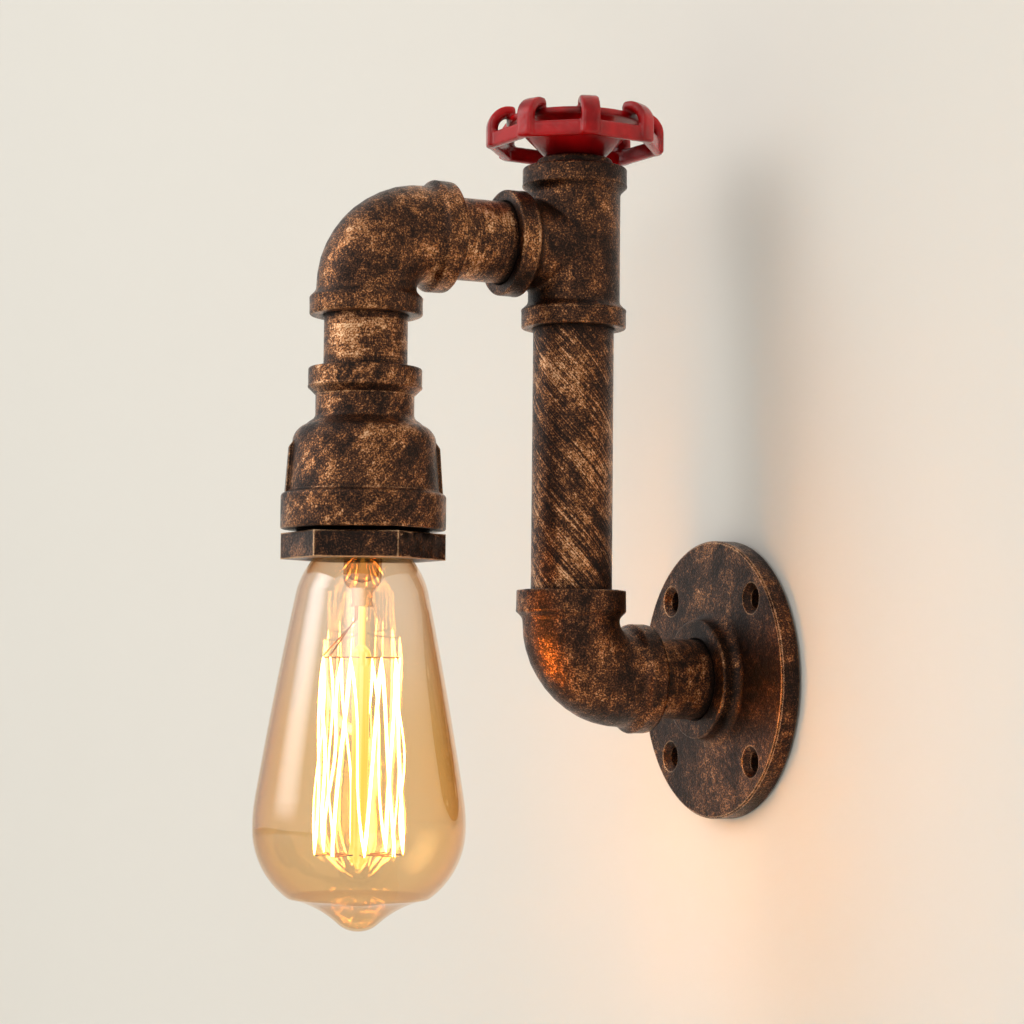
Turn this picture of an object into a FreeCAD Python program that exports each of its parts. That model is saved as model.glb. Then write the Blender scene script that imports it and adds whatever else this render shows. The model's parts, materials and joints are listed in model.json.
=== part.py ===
"""Industrial pipe wall light, as a parametric document in millimetres.

The frame: the origin is the middle of the wall flange's back face, the wall is the plane Y = 0,
the light stands out along -Y and +Z is up. The pipework lies in the plane X = 0: a stub leaves
the flange at Z = 0, an elbow turns it up into the riser, a tee near the top carries the dimmer's
handwheel above it and sends an arm forward, and a second elbow drops to the lampholder and lamp.
"""
import FreeCAD
import Part
import Sketcher
import math
import os

Vector = FreeCAD.Vector
Rotation = FreeCAD.Rotation

doc = FreeCAD.newDocument("pipe_wall_light")
sheet = doc.addObject("Spreadsheet::Sheet", "Sizes")


# ---------------------------------------------------------------- sizes

class Size:
    """A length or an angle that knows both its number and the sheet expression that gives it."""

    def __init__(self, number, words):
        self.number = number
        self.words = words

    def __add__(self, other):
        return Size(self.number + number(other), "({} + {})".format(self.words, words(other)))

    def __sub__(self, other):
        return Size(self.number - number(other), "({} - {})".format(self.words, words(other)))

    def __mul__(self, other):
        return Size(self.number * number(other), "({} * {})".format(self.words, words(other)))

    def __truediv__(self, other):
        return Size(self.number / number(other), "({} / {})".format(self.words, words(other)))

    def __neg__(self):
        return Size(-self.number, "(-1 * {})".format(self.words))

    __radd__ = __add__
    __rmul__ = __mul__


def number(value):
    return value.number if isinstance(value, Size) else float(value)


def words(value):
    return value.words if isinstance(value, Size) else repr(float(value))


sheet_row = 0


def size(alias, value, meaning):
    """Write one driving dimension into the sheet and give it back as a Size."""
    global sheet_row
    sheet_row += 1
    sheet.set("A{}".format(sheet_row), meaning)
    sheet.set("B{}".format(sheet_row), str(value))
    sheet.setAlias("B{}".format(sheet_row), alias)
    return Size(float(value), "Sizes." + alias)


# the run of the pipework
riser_out = size("riser_out", 58.9, "wall to the riser's axis")
drop_reach = size("drop_reach", 73.95, "riser's axis to the lamp's axis")
arm_height = size("arm_height", 141.8, "stub's axis to the arm's axis")

# pipe and fittings
pipe_od = size("pipe_od", 26.7, "three quarter inch pipe, outside")
pipe_bore = size("pipe_bore", 20.9, "three quarter inch pipe, inside")
thread_play = size("thread_play", 0.05, "radial play of a screwed joint")
engagement = size("engagement", 12.0, "depth that a pipe screws into a fitting")
mouth_bevel = size("mouth_bevel", 0.6, "bevel at the mouth of a socket")
rim_round = size("rim_round", 0.7, "rounding of a fitting's cast rims")
elbow_reach = size("elbow_reach", 27.5, "elbow, middle to face")
elbow_bend = size("elbow_bend", 18.6, "elbow, radius of the bend's centre line")
elbow_body = size("elbow_body", 32.0, "elbow, body outside")
elbow_band = size("elbow_band", 36.1, "elbow, band outside")
elbow_band_width = size("elbow_band_width", 5.8, "elbow, width of a band")
tee_reach = size("tee_reach", 26.7, "tee, middle to face")
tee_body = size("tee_body", 30.4, "tee, body outside")
tee_band = size("tee_band", 34.6, "tee, band outside")
tee_band_width = size("tee_band_width", 6.2, "tee, width of a band")
tee_bore = size("tee_bore", 24.0, "tee, inside between the sockets")
crotch_round = size("crotch_round", 1.6, "tee, rounding where the branch leaves the run")

# wall flange
flange_od = size("flange_od", 93.2, "flange outside")
flange_plate = size("flange_plate", 6.5, "flange plate thickness")
flange_reach = size("flange_reach", 12.5, "wall to the hub's face")
flange_hub = size("flange_hub", 40.0, "hub outside at its face")
flange_root = size("flange_root", 3.0, "rounding between hub and plate")
flange_socket = size("flange_socket", 9.5, "depth that the stub screws into the hub")
hole_circle = size("hole_circle", 75.6, "circle of the mounting holes")
hole_od = size("hole_od", 6.5, "mounting hole")
sink_od = size("sink_od", 10.6, "countersink of a mounting hole, at the face")
earth_pocket = size("earth_pocket", 10.4, "pocket for the earth screw in the flange's back")
earth_drop = size("earth_drop", 19.2, "stub's axis to the earth screw")

# reducer and bushing that carry the lampholder
reducer_top = size("reducer_top", 97.6, "height of the reducer's upper face")
reducer_band = size("reducer_band", 36.2, "reducer, upper band outside")
reducer_band_end = size("reducer_band_end", 91.2, "height where the upper band ends")
reducer_neck = size("reducer_neck", 31.4, "reducer, neck outside")
reducer_neck_end = size("reducer_neck_end", 82.6, "height where the neck starts to widen")
shoulder_od = size("shoulder_od", 45.4, "reducer, outside below its round shoulder")
shoulder_end = size("shoulder_end", 74.8, "height where the shoulder ends")
skirt_od = size("skirt_od", 48.0, "reducer, outside just above its lower band")
skirt_end = size("skirt_end", 57.7, "height where the lower band starts")
lower_band = size("lower_band", 52.4, "reducer, lower band outside")
reducer_foot = size("reducer_foot", 46.2, "height of the reducer's lower face")
rib_width = size("rib_width", 6.0, "reducer, width of a side rib")
rib_span = size("rib_span", 49.8, "reducer, width over the two side ribs")
rib_turn = size("rib_turn", 73.0, "plan angle of the side ribs")
bushing_thread = size("bushing_thread", 42.2, "bushing, screwed part outside")
bushing_top = size("bushing_top", 60.0, "height of the bushing's upper end")
hex_top = size("hex_top", 45.0, "height of the hexagon's upper face")
hex_foot = size("hex_foot", 36.7, "height of the hexagon's lower face")
hex_corners = size("hex_corners", 52.4, "hexagon across its corners")
hex_turn = size("hex_turn", 2.2, "plan angle of a corner of the hexagon")
lip_bore = size("lip_bore", 34.4, "bore of the lip that the lampholder rests on")

# lampholder
holder_foot = size("holder_foot", 41.0, "height of the lampholder's lower face")
holder_top = size("holder_top", 69.0, "height of the lampholder's upper face")
holder_od = size("holder_od", 35.8, "lampholder outside")
holder_web = size("holder_web", 3.4, "thickness of the lampholder's floor")
holder_bore = size("holder_bore", 28.9, "bore of the lampholder's insulator")
terminal_side = size("terminal_side", 5.0, "side of a terminal block")
lead_spread = size("lead_spread", 4.0, "middle plane to a lamp lead")

# lamp cap, a 27 mm round thread
thread_pitch = size("thread_pitch", 3.629, "pitch of the lamp cap's thread")
thread_mid = size("thread_mid", 25.4, "lamp cap, mean diameter of the thread")
thread_swing = size("thread_swing", 0.4, "half the depth of the thread")
shell_gap = size("shell_gap", 1.0, "holder shell to lamp cap, radially at mid thread")
shell_wall = size("shell_wall", 0.3, "thickness of cap and shell")
thread_foot = size("thread_foot", 43.4, "height of the lowest turn")
cap_rim = size("cap_rim", 40.2, "height of the cap's rim")

# glass bulb
glass_wall = size("glass_wall", 0.8, "thickness of the bulb's glass")
neck_od = size("neck_od", 22.8, "bulb, neck inside the cap")
neck_top = size("neck_top", 47.0, "height of the neck's upper end")
bulb_shoulder = size("bulb_shoulder", 41.4, "bulb across the shoulder under the cap")
bulb_shoulder_height = size("bulb_shoulder_height", 27.2, "height of that shoulder")
bulb_waist = size("bulb_waist", 65.8, "bulb where its long side ends")
bulb_waist_height = size("bulb_waist_height", -38.8, "height of that place")
bulb_od = size("bulb_od", 67.0, "bulb at its widest")
bulb_wide_height = size("bulb_wide_height", -46.6, "height of the widest place")
bulb_foot = size("bulb_foot", 45.0, "bulb where its round end turns to the tip")
bulb_foot_height = size("bulb_foot_height", -69.3, "height of that place")
tip_od = size("tip_od", 13.0, "bulb's sealed tip")
tip_height = size("tip_height", -77.3, "height where the tip starts")
bulb_end = size("bulb_end", -79.8, "lowest point of the bulb")

# what is inside the bulb
pinch_end = size("pinch_end", 22.0, "height where the stem's pinch ends")
rod_top = size("rod_top", 8.0, "height where the centre rod becomes thick")
rod_od = size("rod_od", 5.4, "centre rod")
spoke_wire = size("spoke_wire", 0.5, "support and lead wire")
upper_spokes = size("upper_spokes", 5.9, "height of the upper supports")
upper_cage = size("upper_cage", 25.2, "filament cage across its upper hooks")
lower_spokes = size("lower_spokes", -55.9, "height of the lower supports")
lower_cage = size("lower_cage", 28.0, "filament cage across its lower hooks")
filament_wire = size("filament_wire", 0.6, "filament, the coiled wire as a tube")

# dimmer and handwheel
plug_top = size("plug_top", 171.5, "height of the top plug's face")
plug_face = size("plug_face", 25.0, "top plug, outside where it stands proud")
plug_web = size("plug_web", 4.0, "top plug, thickness of its web")
dimmer_od = size("dimmer_od", 21.0, "dimmer body")
dimmer_foot = size("dimmer_foot", 152.0, "height of the dimmer's lower face")
bush_od = size("bush_od", 7.0, "dimmer's screwed bush")
bush_top = size("bush_top", 174.4, "height of the bush's end")
spindle_od = size("spindle_od", 6.0, "spindle")
spindle_play = size("spindle_play", 0.05, "running play of the spindle")
wheel_foot = size("wheel_foot", 171.9, "height of the wheel's hub")
wheel_hub = size("wheel_hub", 19.4, "wheel hub at its foot")
wheel_wall = size("wheel_wall", 2.2, "thickness of the wheel's dish")
ring_od = size("ring_od", 45.6, "wheel's inner ring")
ring_top = size("ring_top", 184.8, "height of the inner ring")
wheel_corners = size("wheel_corners", 58.6, "wheel's outer band across its corners")
band_foot = size("band_foot", 174.6, "height of the outer band's lower edge")
band_height = size("band_height", 4.8, "height of the outer band")
band_wall = size("band_wall", 2.5, "thickness of the outer band")
arch_top = size("arch_top", 188.2, "height of the arches")
arch_width = size("arch_width", 5.8, "width of an arch")
arch_wall = size("arch_wall", 2.6, "thickness of an arch")
wheel_turn = size("wheel_turn", -16.5, "plan angle of a corner of the wheel")

# wiring
lead_od = size("lead_od", 2.4, "insulated lead")
lead_bend = size("lead_bend", 9.0, "smallest bend of a lead")
feed_side = size("feed_side", 7.0, "middle plane to the dimmer's feed")
feed_low = size("feed_low", 3.0, "leads below the stub's axis")
ferrule_length = size("ferrule_length", 9.0, "bootlace ferrule")

doc.recompute()

HOLES = 4           # mounting holes in the flange
HEX_SIDES = 6
WHEEL_SIDES = 8     # sides and arches of the handwheel
HOOKS = 8           # filament hooks in each row
CAP_TURNS = 5       # turns of thread on the lamp cap
FULL_TURN = 360.0
QUARTER_TURN = 90.0
CAMERA_SIDE = -25.5     # plan angle that the lit strands are counted from
UPPER_HOOK_TURN = CAMERA_SIDE - 12.0
LOWER_HOOK_TURN = CAMERA_SIDE + 10.5
LEAD_HOOK = 7           # the upper hook whose place the two lead wires take
LEAD_SPLIT = 10.0       # degrees from that hook to each lead wire


# ---------------------------------------------------------------- document helpers

def bind(thing, **properties):
    """Set properties, tying each that is a Size to the sheet."""
    for name, value in properties.items():
        if isinstance(value, Size):
            thing.setExpression(name, value.words)
        else:
            setattr(thing, name, value)
    return thing


def place(thing, x=0, y=0, z=0, turn=None):
    """Give a thing its rotation, and its position tied to the sheet."""
    thing.Placement = FreeCAD.Placement(Vector(number(x), number(y), number(z)), turn or Rotation())
    for axis, value in zip("xyz", (x, y, z)):
        if isinstance(value, Size):
            thing.setExpression("Placement.Base." + axis, value.words)
    return thing


OUTWARD = Rotation(Vector(1, 0, 0), 90)        # a turned piece's own +Z looks away from the wall
WALLWARD = Rotation(Vector(1, 0, 0), -90)      # its +Z looks to the wall
DOWNWARD = Rotation(Vector(1, 0, 0), 180)
UPSIDE = Rotation(Vector(0, 1, 0), 180)        # an elbow that turns down instead of up


def about_z(angle):
    return Rotation(Vector(0, 0, 1), angle)


def origin_plane(body, role):
    return next(f for f in body.Origin.OriginFeatures if f.Role == role)


def arc_edge(start, end, radius):
    """The arc from start to end. A positive radius bows to the right of the way, a negative one to
    the left. Gives the edge, which always runs anticlockwise, and whether it begins at start."""
    way = end - start
    reach = abs(radius)
    side = Vector(way.y, -way.x, 0).normalize() * (1 if radius > 0 else -1)
    depth = math.sqrt(max(reach ** 2 - way.Length ** 2 / 4, 0))
    centre = (start + end) * 0.5 - side * depth
    first, last = (start, end) if radius > 0 else (end, start)
    angles = [math.atan2(p.y - centre.y, p.x - centre.x) for p in (first, last)]
    circle = Part.Circle(centre, Vector(0, 0, 1), reach)
    return Part.ArcOfCircle(circle, angles[0], angles[1]), radius > 0


def outline(body, role, corners, name="outline"):
    """A closed sketch on one of the body's own planes. Each corner is (across, up), or
    (across, up, radius) where an arc leads on to the next corner. Every corner is held by its two
    distances from the origin, and every arc by its radius, all tied to the sheet."""
    sketch = body.newObject("Sketcher::SketchObject", body.Name + "_" + name)
    sketch.AttachmentSupport = [(origin_plane(body, role), "")]
    sketch.MapMode = "FlatFace"
    points = [Vector(number(c[0]), number(c[1]), 0) for c in corners]
    ends = []
    for index, corner in enumerate(corners):
        start, end = points[index], points[(index + 1) % len(points)]
        if len(corner) == 3:
            edge, forward = arc_edge(start, end, number(corner[2]))
        else:
            edge, forward = Part.LineSegment(start, end), True
        sketch.addGeometry(edge, False)
        ends.append((1, 2) if forward else (2, 1))
    for index, corner in enumerate(corners):
        following = (index + 1) % len(corners)
        sketch.addConstraint(
            Sketcher.Constraint("Coincident", index, ends[index][1], following, ends[following][0]))
    for index, corner in enumerate(corners):
        end = ends[index][0]
        for kind, value, axis in (("DistanceX", corner[0], -2), ("DistanceY", corner[1], -1)):
            if not isinstance(value, Size) and value == 0:
                sketch.addConstraint(Sketcher.Constraint("PointOnObject", index, end, axis))
                continue
            held = sketch.addConstraint(
                Sketcher.Constraint(kind, -1, 1, index, end, number(value)))
            if isinstance(value, Size):
                sketch.setExpression("Constraints[{}]".format(held), value.words)
        if len(corner) == 3:
            radius = corner[2] if number(corner[2]) > 0 else corner[2] * -1
            held = sketch.addConstraint(Sketcher.Constraint("Radius", index, abs(number(radius))))
            if isinstance(radius, Size):
                sketch.setExpression("Constraints[{}]".format(held), radius.words)
    return sketch


def new_body(name):
    body = doc.addObject("PartDesign::Body", name)
    body.Label = name
    return body


def turned(name, corners):
    """A piece turned about its own Z axis from an outline of (radius, height) corners."""
    body = new_body(name)
    sketch = outline(body, "XZ_Plane", corners)
    turning = body.newObject("PartDesign::Revolution", name + "_turning")
    turning.Profile = sketch
    turning.ReferenceAxis = (sketch, ["V_Axis"])
    turning.Angle = FULL_TURN
    sketch.Visibility = False
    return body


def padded(name, role, corners, length):
    """A piece of even thickness, grown both ways from one of its own planes."""
    body = new_body(name)
    pad = body.newObject("PartDesign::Pad", name + "_pad")
    pad.Profile = outline(body, role, corners)
    pad.Midplane = True
    bind(pad, Length=length)
    return body


def cylinder(name, radius, height, x=0, y=0, z=0, turn=None):
    rod = doc.addObject("Part::Cylinder", name)
    bind(rod, Radius=radius, Height=height)
    return place(rod, x, y, z, turn)


def prism(name, sides, circumradius, height, z=0, turn=None):
    block = doc.addObject("Part::Prism", name)
    bind(block, Polygon=sides, Circumradius=circumradius, Height=height)
    return place(block, 0, 0, z, turn)


def joined(name, pieces):
    fuse = doc.addObject("Part::MultiFuse", name)
    fuse.Shapes = pieces
    fuse.Refine = True
    fuse.Label = name
    return fuse


def cut(name, base, tool):
    result = doc.addObject("Part::Cut", name)
    result.Base = base
    result.Tool = tool
    result.Label = name
    return result


def shared(name, base, tool):
    result = doc.addObject("Part::Common", name)
    result.Base = base
    result.Tool = tool
    result.Label = name
    return result


def by_hand(name, shape, x=0, y=0, z=0, turn=None):
    """A piece whose shape is worked out from the sheet's values by the functions below."""
    piece = doc.addObject("Part::Feature", name)
    piece.Shape = shape
    piece.Label = name
    return place(piece, x, y, z, turn)


nodes = []


def node(piece):
    """Keep a finished sub-part. Its label is its file name."""
    nodes.append(piece)
    return piece


# ---------------------------------------------------------------- pipes and fittings

pipe_radius = pipe_od / 2
bore_radius = pipe_bore / 2
socket_radius = pipe_radius + thread_play


def nipple(name, length):
    """A length of pipe from its own Z = 0, its ends eased so that they start in a thread."""
    eased = pipe_radius - mouth_bevel
    return turned(name, [
        (bore_radius, 0),
        (eased, 0),
        (pipe_radius, mouth_bevel),
        (pipe_radius, length - mouth_bevel),
        (eased, length),
        (bore_radius, length),
    ])


def banded_leg(name, start, reach, body_od, band_od, band_width):
    """One leg of a cast fitting: its body, a bevel up to the band, and the band's soft rims."""
    body_radius, band_radius = body_od / 2, band_od / 2
    bevel = band_radius - body_radius
    band_start = reach - band_width
    return turned(name, [
        (0, start),
        (body_radius, start),
        (body_radius, band_start - bevel * 1.4, -1 * (bevel * 1.2)),
        (body_radius + bevel / 2, band_start - bevel / 2),
        (band_radius - rim_round / 2, band_start - rim_round / 2, rim_round),
        (band_radius, band_start + rim_round),
        (band_radius, reach - rim_round, rim_round),
        (band_radius - rim_round, reach),
        (0, reach),
    ])


def socketed_bore(name, start, reach, inner_radius):
    """The hollow of that leg: the way through, the socket's shoulder and the bevelled mouth."""
    shoulder = reach - engagement
    return turned(name, [
        (0, start),
        (inner_radius, start),
        (inner_radius, shoulder),
        (socket_radius, shoulder),
        (socket_radius, reach - mouth_bevel),
        (socket_radius + mouth_bevel, reach),
        (0, reach),
    ])


def quarter_bend(name, tube_radius):
    """A quarter of a ring in the plane X = 0, from the leg along +Y to the leg along +Z."""
    ring = doc.addObject("Part::Torus", name)
    bind(ring, Radius1=elbow_bend, Radius2=tube_radius, Angle3=QUARTER_TURN)
    turn = Rotation(Vector(0, 0, -1), Vector(0, -1, 0), Vector(-1, 0, 0), "XYZ")
    return place(ring, 0, elbow_bend, elbow_bend, turn)


def elbow(name, y, z, turn=None):
    """A cast elbow with legs along +Y and +Z, before it is turned to its place."""
    legs, bores = [], []
    for way, leg_turn in (("out", WALLWARD), ("up", None)):
        leg = banded_leg("{}_leg_{}".format(name, way), elbow_bend, elbow_reach,
                         elbow_body, elbow_band, elbow_band_width)
        bore = socketed_bore("{}_bore_{}".format(name, way), elbow_bend, elbow_reach, bore_radius)
        legs.append(place(leg, turn=leg_turn))
        bores.append(place(bore, turn=leg_turn))
    casting = joined(name + "_casting", legs + [quarter_bend(name + "_bend", elbow_body / 2)])
    hollow = joined(name + "_hollow", bores + [quarter_bend(name + "_way", bore_radius + CORE_STEP)])
    return place(cut(name, casting, hollow), 0, y, z, turn)


CORE_STEP = 0.3         # the cast bend is a little wider inside than the way through its legs


def crotch_edges(solid, height, radius):
    """The curved edges where the branch's body leaves the run's body."""
    found = []
    for index, edge in enumerate(solid.Shape.Edges):
        box = edge.BoundBox
        near_branch = box.YMax < 0.5 and box.YMin > -radius - 0.5
        at_height = abs((box.ZMin + box.ZMax) / 2 - height) < radius + 0.5
        if near_branch and at_height and not edge.isClosed() and edge.Length > radius / 2 \
                and not isinstance(edge.Curve, (Part.Circle, Part.Line)):
            found.append((index + 1, number(crotch_round), number(crotch_round)))
    return found


def make_tee():
    ways = (("up", None), ("down", DOWNWARD), ("branch", OUTWARD))
    legs, bores = [], []
    for way, turn in ways:
        leg = banded_leg("tee_leg_" + way, 0, tee_reach,
                         tee_body - BRANCH_STEP if way == "branch" else tee_body,
                         tee_band, tee_band_width)
        bore = socketed_bore("tee_bore_" + way, 0, tee_reach,
                             bore_radius if way == "branch" else tee_bore / 2)
        legs.append(place(leg, turn=turn))
        bores.append(place(bore, turn=turn))
    casting = joined("tee_casting", legs)
    doc.recompute()
    softened = doc.addObject("Part::Fillet", "tee_softened")
    softened.Base = casting
    softened.Edges = crotch_edges(casting, 0, number(tee_body) / 2)
    hollow = joined("tee_hollow", bores)
    node(place(cut("tee", softened, hollow), 0, -riser_out, arm_height))


BRANCH_STEP = 0.8       # the tee's branch is this much slimmer than its run


def make_pipework():
    riser_foot = elbow_reach - engagement
    arm_end = drop_reach - elbow_reach + engagement
    drop_top = arm_height - elbow_reach + engagement
    drop_foot = reducer_top - engagement
    node(place(nipple("stub_nipple", riser_out - elbow_reach + engagement
                      - flange_reach + flange_socket),
               0, flange_socket - flange_reach, 0, OUTWARD))
    node(elbow("lower_elbow", -riser_out, 0))
    node(place(nipple("riser_pipe", arm_height - tee_reach + engagement - riser_foot),
               0, -riser_out, riser_foot))
    make_tee()
    node(place(nipple("arm_nipple", arm_end - tee_reach + engagement),
               0, -riser_out - tee_reach + engagement, arm_height, OUTWARD))
    node(elbow("upper_elbow", -riser_out - drop_reach, arm_height, UPSIDE))
    node(place(nipple("drop_nipple", drop_top - drop_foot),
               0, -riser_out - drop_reach, drop_foot))


def make_wall_flange():
    """The flange is turned about the stub's axis: its own Z runs away from the wall."""
    hub_radius = flange_hub / 2
    rim = flange_od / 2
    disc = turned("flange_disc", [
        (bore_radius, 0),
        (rim, 0),
        (rim, flange_plate - mouth_bevel),
        (rim - mouth_bevel, flange_plate),
        (hub_radius + flange_root, flange_plate, -1 * flange_root),
        (hub_radius, flange_plate + flange_root),
        (hub_radius, flange_reach - rim_round, rim_round),
        (hub_radius - rim_round, flange_reach),
        (socket_radius + mouth_bevel, flange_reach),
        (socket_radius, flange_reach - mouth_bevel),
        (socket_radius, flange_reach - flange_socket),
        (bore_radius, flange_reach - flange_socket),
    ])
    sink_depth = (sink_od - hole_od) / 2
    drills = []
    for index in range(HOLES):
        angle = math.radians(45 + index * FULL_TURN / HOLES)
        drill = turned("mounting_drill_{}".format(index), [
            (0, 0),
            (hole_od / 2, 0),
            (hole_od / 2, flange_plate - sink_depth),
            (sink_od / 2, flange_plate),
            (0, flange_plate),
        ])
        drills.append(place(drill, hole_circle / 2 * math.cos(angle),
                            hole_circle / 2 * math.sin(angle), 0))
    # the earth screw sits in a pocket in the back face, under the hub
    pocket = cylinder("earth_pocket_cut", earth_pocket / 2, EARTH_POCKET_DEPTH,
                      0, -earth_drop, 0)
    thread = cylinder("earth_thread_cut", EARTH_SHANK_RADIUS, EARTH_POCKET_DEPTH + EARTH_SHANK_LENGTH,
                      0, -earth_drop, 0)
    tools = joined("flange_drills", drills + [pocket, thread])
    node(place(cut("wall_flange", disc, tools), turn=OUTWARD))


EARTH_SHANK_RADIUS = 2.0
EARTH_SHANK_LENGTH = 2.4
EARTH_POCKET_DEPTH = 3.4
EARTH_HEAD_HEIGHT = 2.4
EARTH_WASHER = 0.8


def slotted_head(name, head_radius, head_height, shank_radius, shank_length, slot_width):
    """A cheese-head screw: its head stands on its own Z = 0 and its shank goes down."""
    screw = turned(name + "_blank", [
        (0, -shank_length),
        (shank_radius, -shank_length),
        (shank_radius, 0),
        (head_radius, 0),
        (head_radius, head_height * 0.75, head_height),
        (head_radius - head_height * 0.25, head_height),
        (0, head_height),
    ])
    slot = doc.addObject("Part::Box", name + "_slot")
    bind(slot, Length=head_radius * 3, Width=slot_width, Height=head_height)
    place(slot, -head_radius * 1.5, -slot_width / 2, head_height * 0.55)
    return cut(name, screw, slot)


def make_earth_screw():
    """It is driven from the back, through a crimp washer, into the flange's thickest part."""
    face = EARTH_POCKET_DEPTH - EARTH_WASHER
    screw = slotted_head("earth_screw", 3.8, EARTH_HEAD_HEIGHT, EARTH_SHANK_RADIUS - 0.03,
                         EARTH_SHANK_LENGTH + EARTH_WASHER, 1.0)
    node(place(screw, 0, -face, -earth_drop, WALLWARD))
    washer = turned("earth_washer", [
        (EARTH_SHANK_RADIUS + 0.1, 0),
        (4.6, 0),
        (4.6, EARTH_WASHER),
        (EARTH_SHANK_RADIUS + 0.1, EARTH_WASHER),
    ])
    node(place(washer, 0, -EARTH_POCKET_DEPTH, -earth_drop, WALLWARD))


# ---------------------------------------------------------------- reducer and lampholder

lamp_y = -riser_out - drop_reach


def make_reducer():
    """The bell is turned about the lamp's axis in true heights. Two ribs stand on its sides."""
    neck, shoulder, skirt = reducer_neck / 2, shoulder_od / 2, skirt_od / 2
    upper, lower = reducer_band / 2, lower_band / 2
    bevel = upper - neck
    skin = turned("reducer_skin", [
        (0, reducer_foot),
        (lower - rim_round, reducer_foot, rim_round),
        (lower, reducer_foot + rim_round),
        (lower, skirt_end - rim_round * 2, rim_round * 2),
        (lower - rim_round * 2, skirt_end),
        (skirt, skirt_end + rim_round, -1 * (rim_round * 2)),
        (skirt - 0.05, skirt_end + rim_round * 2),
        (shoulder, shoulder_end, 6.5),
        (shoulder - 4.0, shoulder_end + 4.6, 14.0),
        (neck + 1.2, reducer_neck_end - 1.8, -2.4),
        (neck, reducer_neck_end),
        (neck, reducer_band_end - bevel),
        (upper - rim_round / 2, reducer_band_end - rim_round / 2, rim_round),
        (upper, reducer_band_end + rim_round),
        (upper, reducer_top - rim_round, rim_round),
        (upper - rim_round, reducer_top),
        (0, reducer_top),
    ])
    side = rib_span / 2
    high_side = side - RIB_TAPER
    top_side = high_side - RIB_SLOPE * 0.7
    rib = padded("reducer_rib", "XZ_Plane", [
        (-1 * side, skirt_end - 1.0),
        (side, skirt_end - 1.0),
        (side, skirt_end + 0.5),
        (high_side, shoulder_end - RIB_SLOPE),
        (top_side, shoulder_end),
        (-1 * top_side, shoulder_end),
        (-1 * high_side, shoulder_end - RIB_SLOPE),
        (-1 * side, skirt_end + 0.5),
    ], rib_width)
    room = BUSHING_ROOM / 2
    hollow = turned("reducer_hollow", [
        (0, reducer_foot),
        (bushing_thread / 2 + thread_play + mouth_bevel, reducer_foot),
        (bushing_thread / 2 + thread_play, reducer_foot + mouth_bevel),
        (bushing_thread / 2 + thread_play, bushing_top),
        (holder_od / 2 + 0.5, bushing_top),
        (holder_od / 2 + 0.5, holder_top),
        (room, holder_top),
        (room, holder_top + 7.0),
        (bore_radius, reducer_neck_end - 2.0),
        (bore_radius, reducer_top - engagement),
        (socket_radius, reducer_top - engagement),
        (socket_radius, reducer_top - mouth_bevel),
        (socket_radius + mouth_bevel, reducer_top),
        (0, reducer_top),
    ])
    casting = joined("reducer_casting", [skin, rib])
    node(place(cut("reducer_bell", casting, hollow), 0, lamp_y, 0, about_z(number(rib_turn))))


BUSHING_ROOM = 30.0     # the room above the lampholder for its terminals
RIB_TAPER = 1.0         # how far a side rib leans in towards its top
RIB_SLOPE = 2.6         # height of the slope at the top of a side rib


def make_bushing():
    """A hexagon bushing. Both faces of its hexagon are eased so that its corners come to a point."""
    blank = prism("bushing_hexagon", HEX_SIDES, hex_corners / 2, hex_top - hex_foot, hex_foot,
                  about_z(number(hex_turn)))
    flats = hex_corners / 2 * math.cos(math.pi / HEX_SIDES)
    easing = turned("bushing_easing", [
        (0, hex_foot),
        (flats - 0.4, hex_foot),
        (hex_corners / 2 + 0.6, hex_foot + 1.9),
        (hex_corners / 2 + 0.6, hex_top - 1.9),
        (flats - 0.4, hex_top),
        (0, hex_top),
    ])
    thread = turned("bushing_screw", [
        (0, hex_foot + 1.0),
        (bushing_thread / 2, hex_foot + 1.0),
        (bushing_thread / 2, bushing_top - 1.0),
        (bushing_thread / 2 - 1.0, bushing_top),
        (0, bushing_top),
    ])
    bore = turned("bushing_bore", [
        (0, hex_foot),
        (lip_bore / 2 + 0.8, hex_foot),
        (lip_bore / 2, hex_foot + 0.8),
        (lip_bore / 2, holder_foot),
        (holder_od / 2 + 0.1, holder_foot),
        (holder_od / 2 + 0.1, bushing_top),
        (0, bushing_top),
    ])
    casting = joined("bushing_casting", [shared("bushing_head", blank, easing), thread])
    node(place(cut("hex_bushing", casting, bore), 0, lamp_y, 0))


def thread_wave(mid_radius, swing_radius_out, swing_radius_in, upward):
    """Corners of the round thread, crest and root by turns, from one end of it to the other."""
    half = thread_pitch / 2
    corners = []
    for step in range(2 * CAP_TURNS):
        count = step if upward else 2 * CAP_TURNS - step
        crest_next = (step if upward else step + 1) % 2 == 0
        radius = swing_radius_out if crest_next else -1 * swing_radius_in
        corners.append((mid_radius, thread_foot + half * count, radius if upward else -1 * radius))
    return corners


def wave_radius():
    """Radius of a thread's arcs: each spans half a pitch and rises by the thread's swing."""
    chord = thread_pitch / 2
    return chord * chord / (thread_swing * 8) + thread_swing / 2


def thread_sleeve(name, mid_radius, below, above):
    """A thin shell with a round thread, with more corners below it and above it."""
    wave = wave_radius()
    inner_mid = mid_radius - shell_wall
    top = thread_foot + thread_pitch * CAP_TURNS
    outside = thread_wave(mid_radius, wave, wave, True)
    inside = thread_wave(inner_mid, wave, wave, False)
    return turned(name, below + outside + [(mid_radius, top)] + above
                  + inside + [(inner_mid, thread_foot)])


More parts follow.
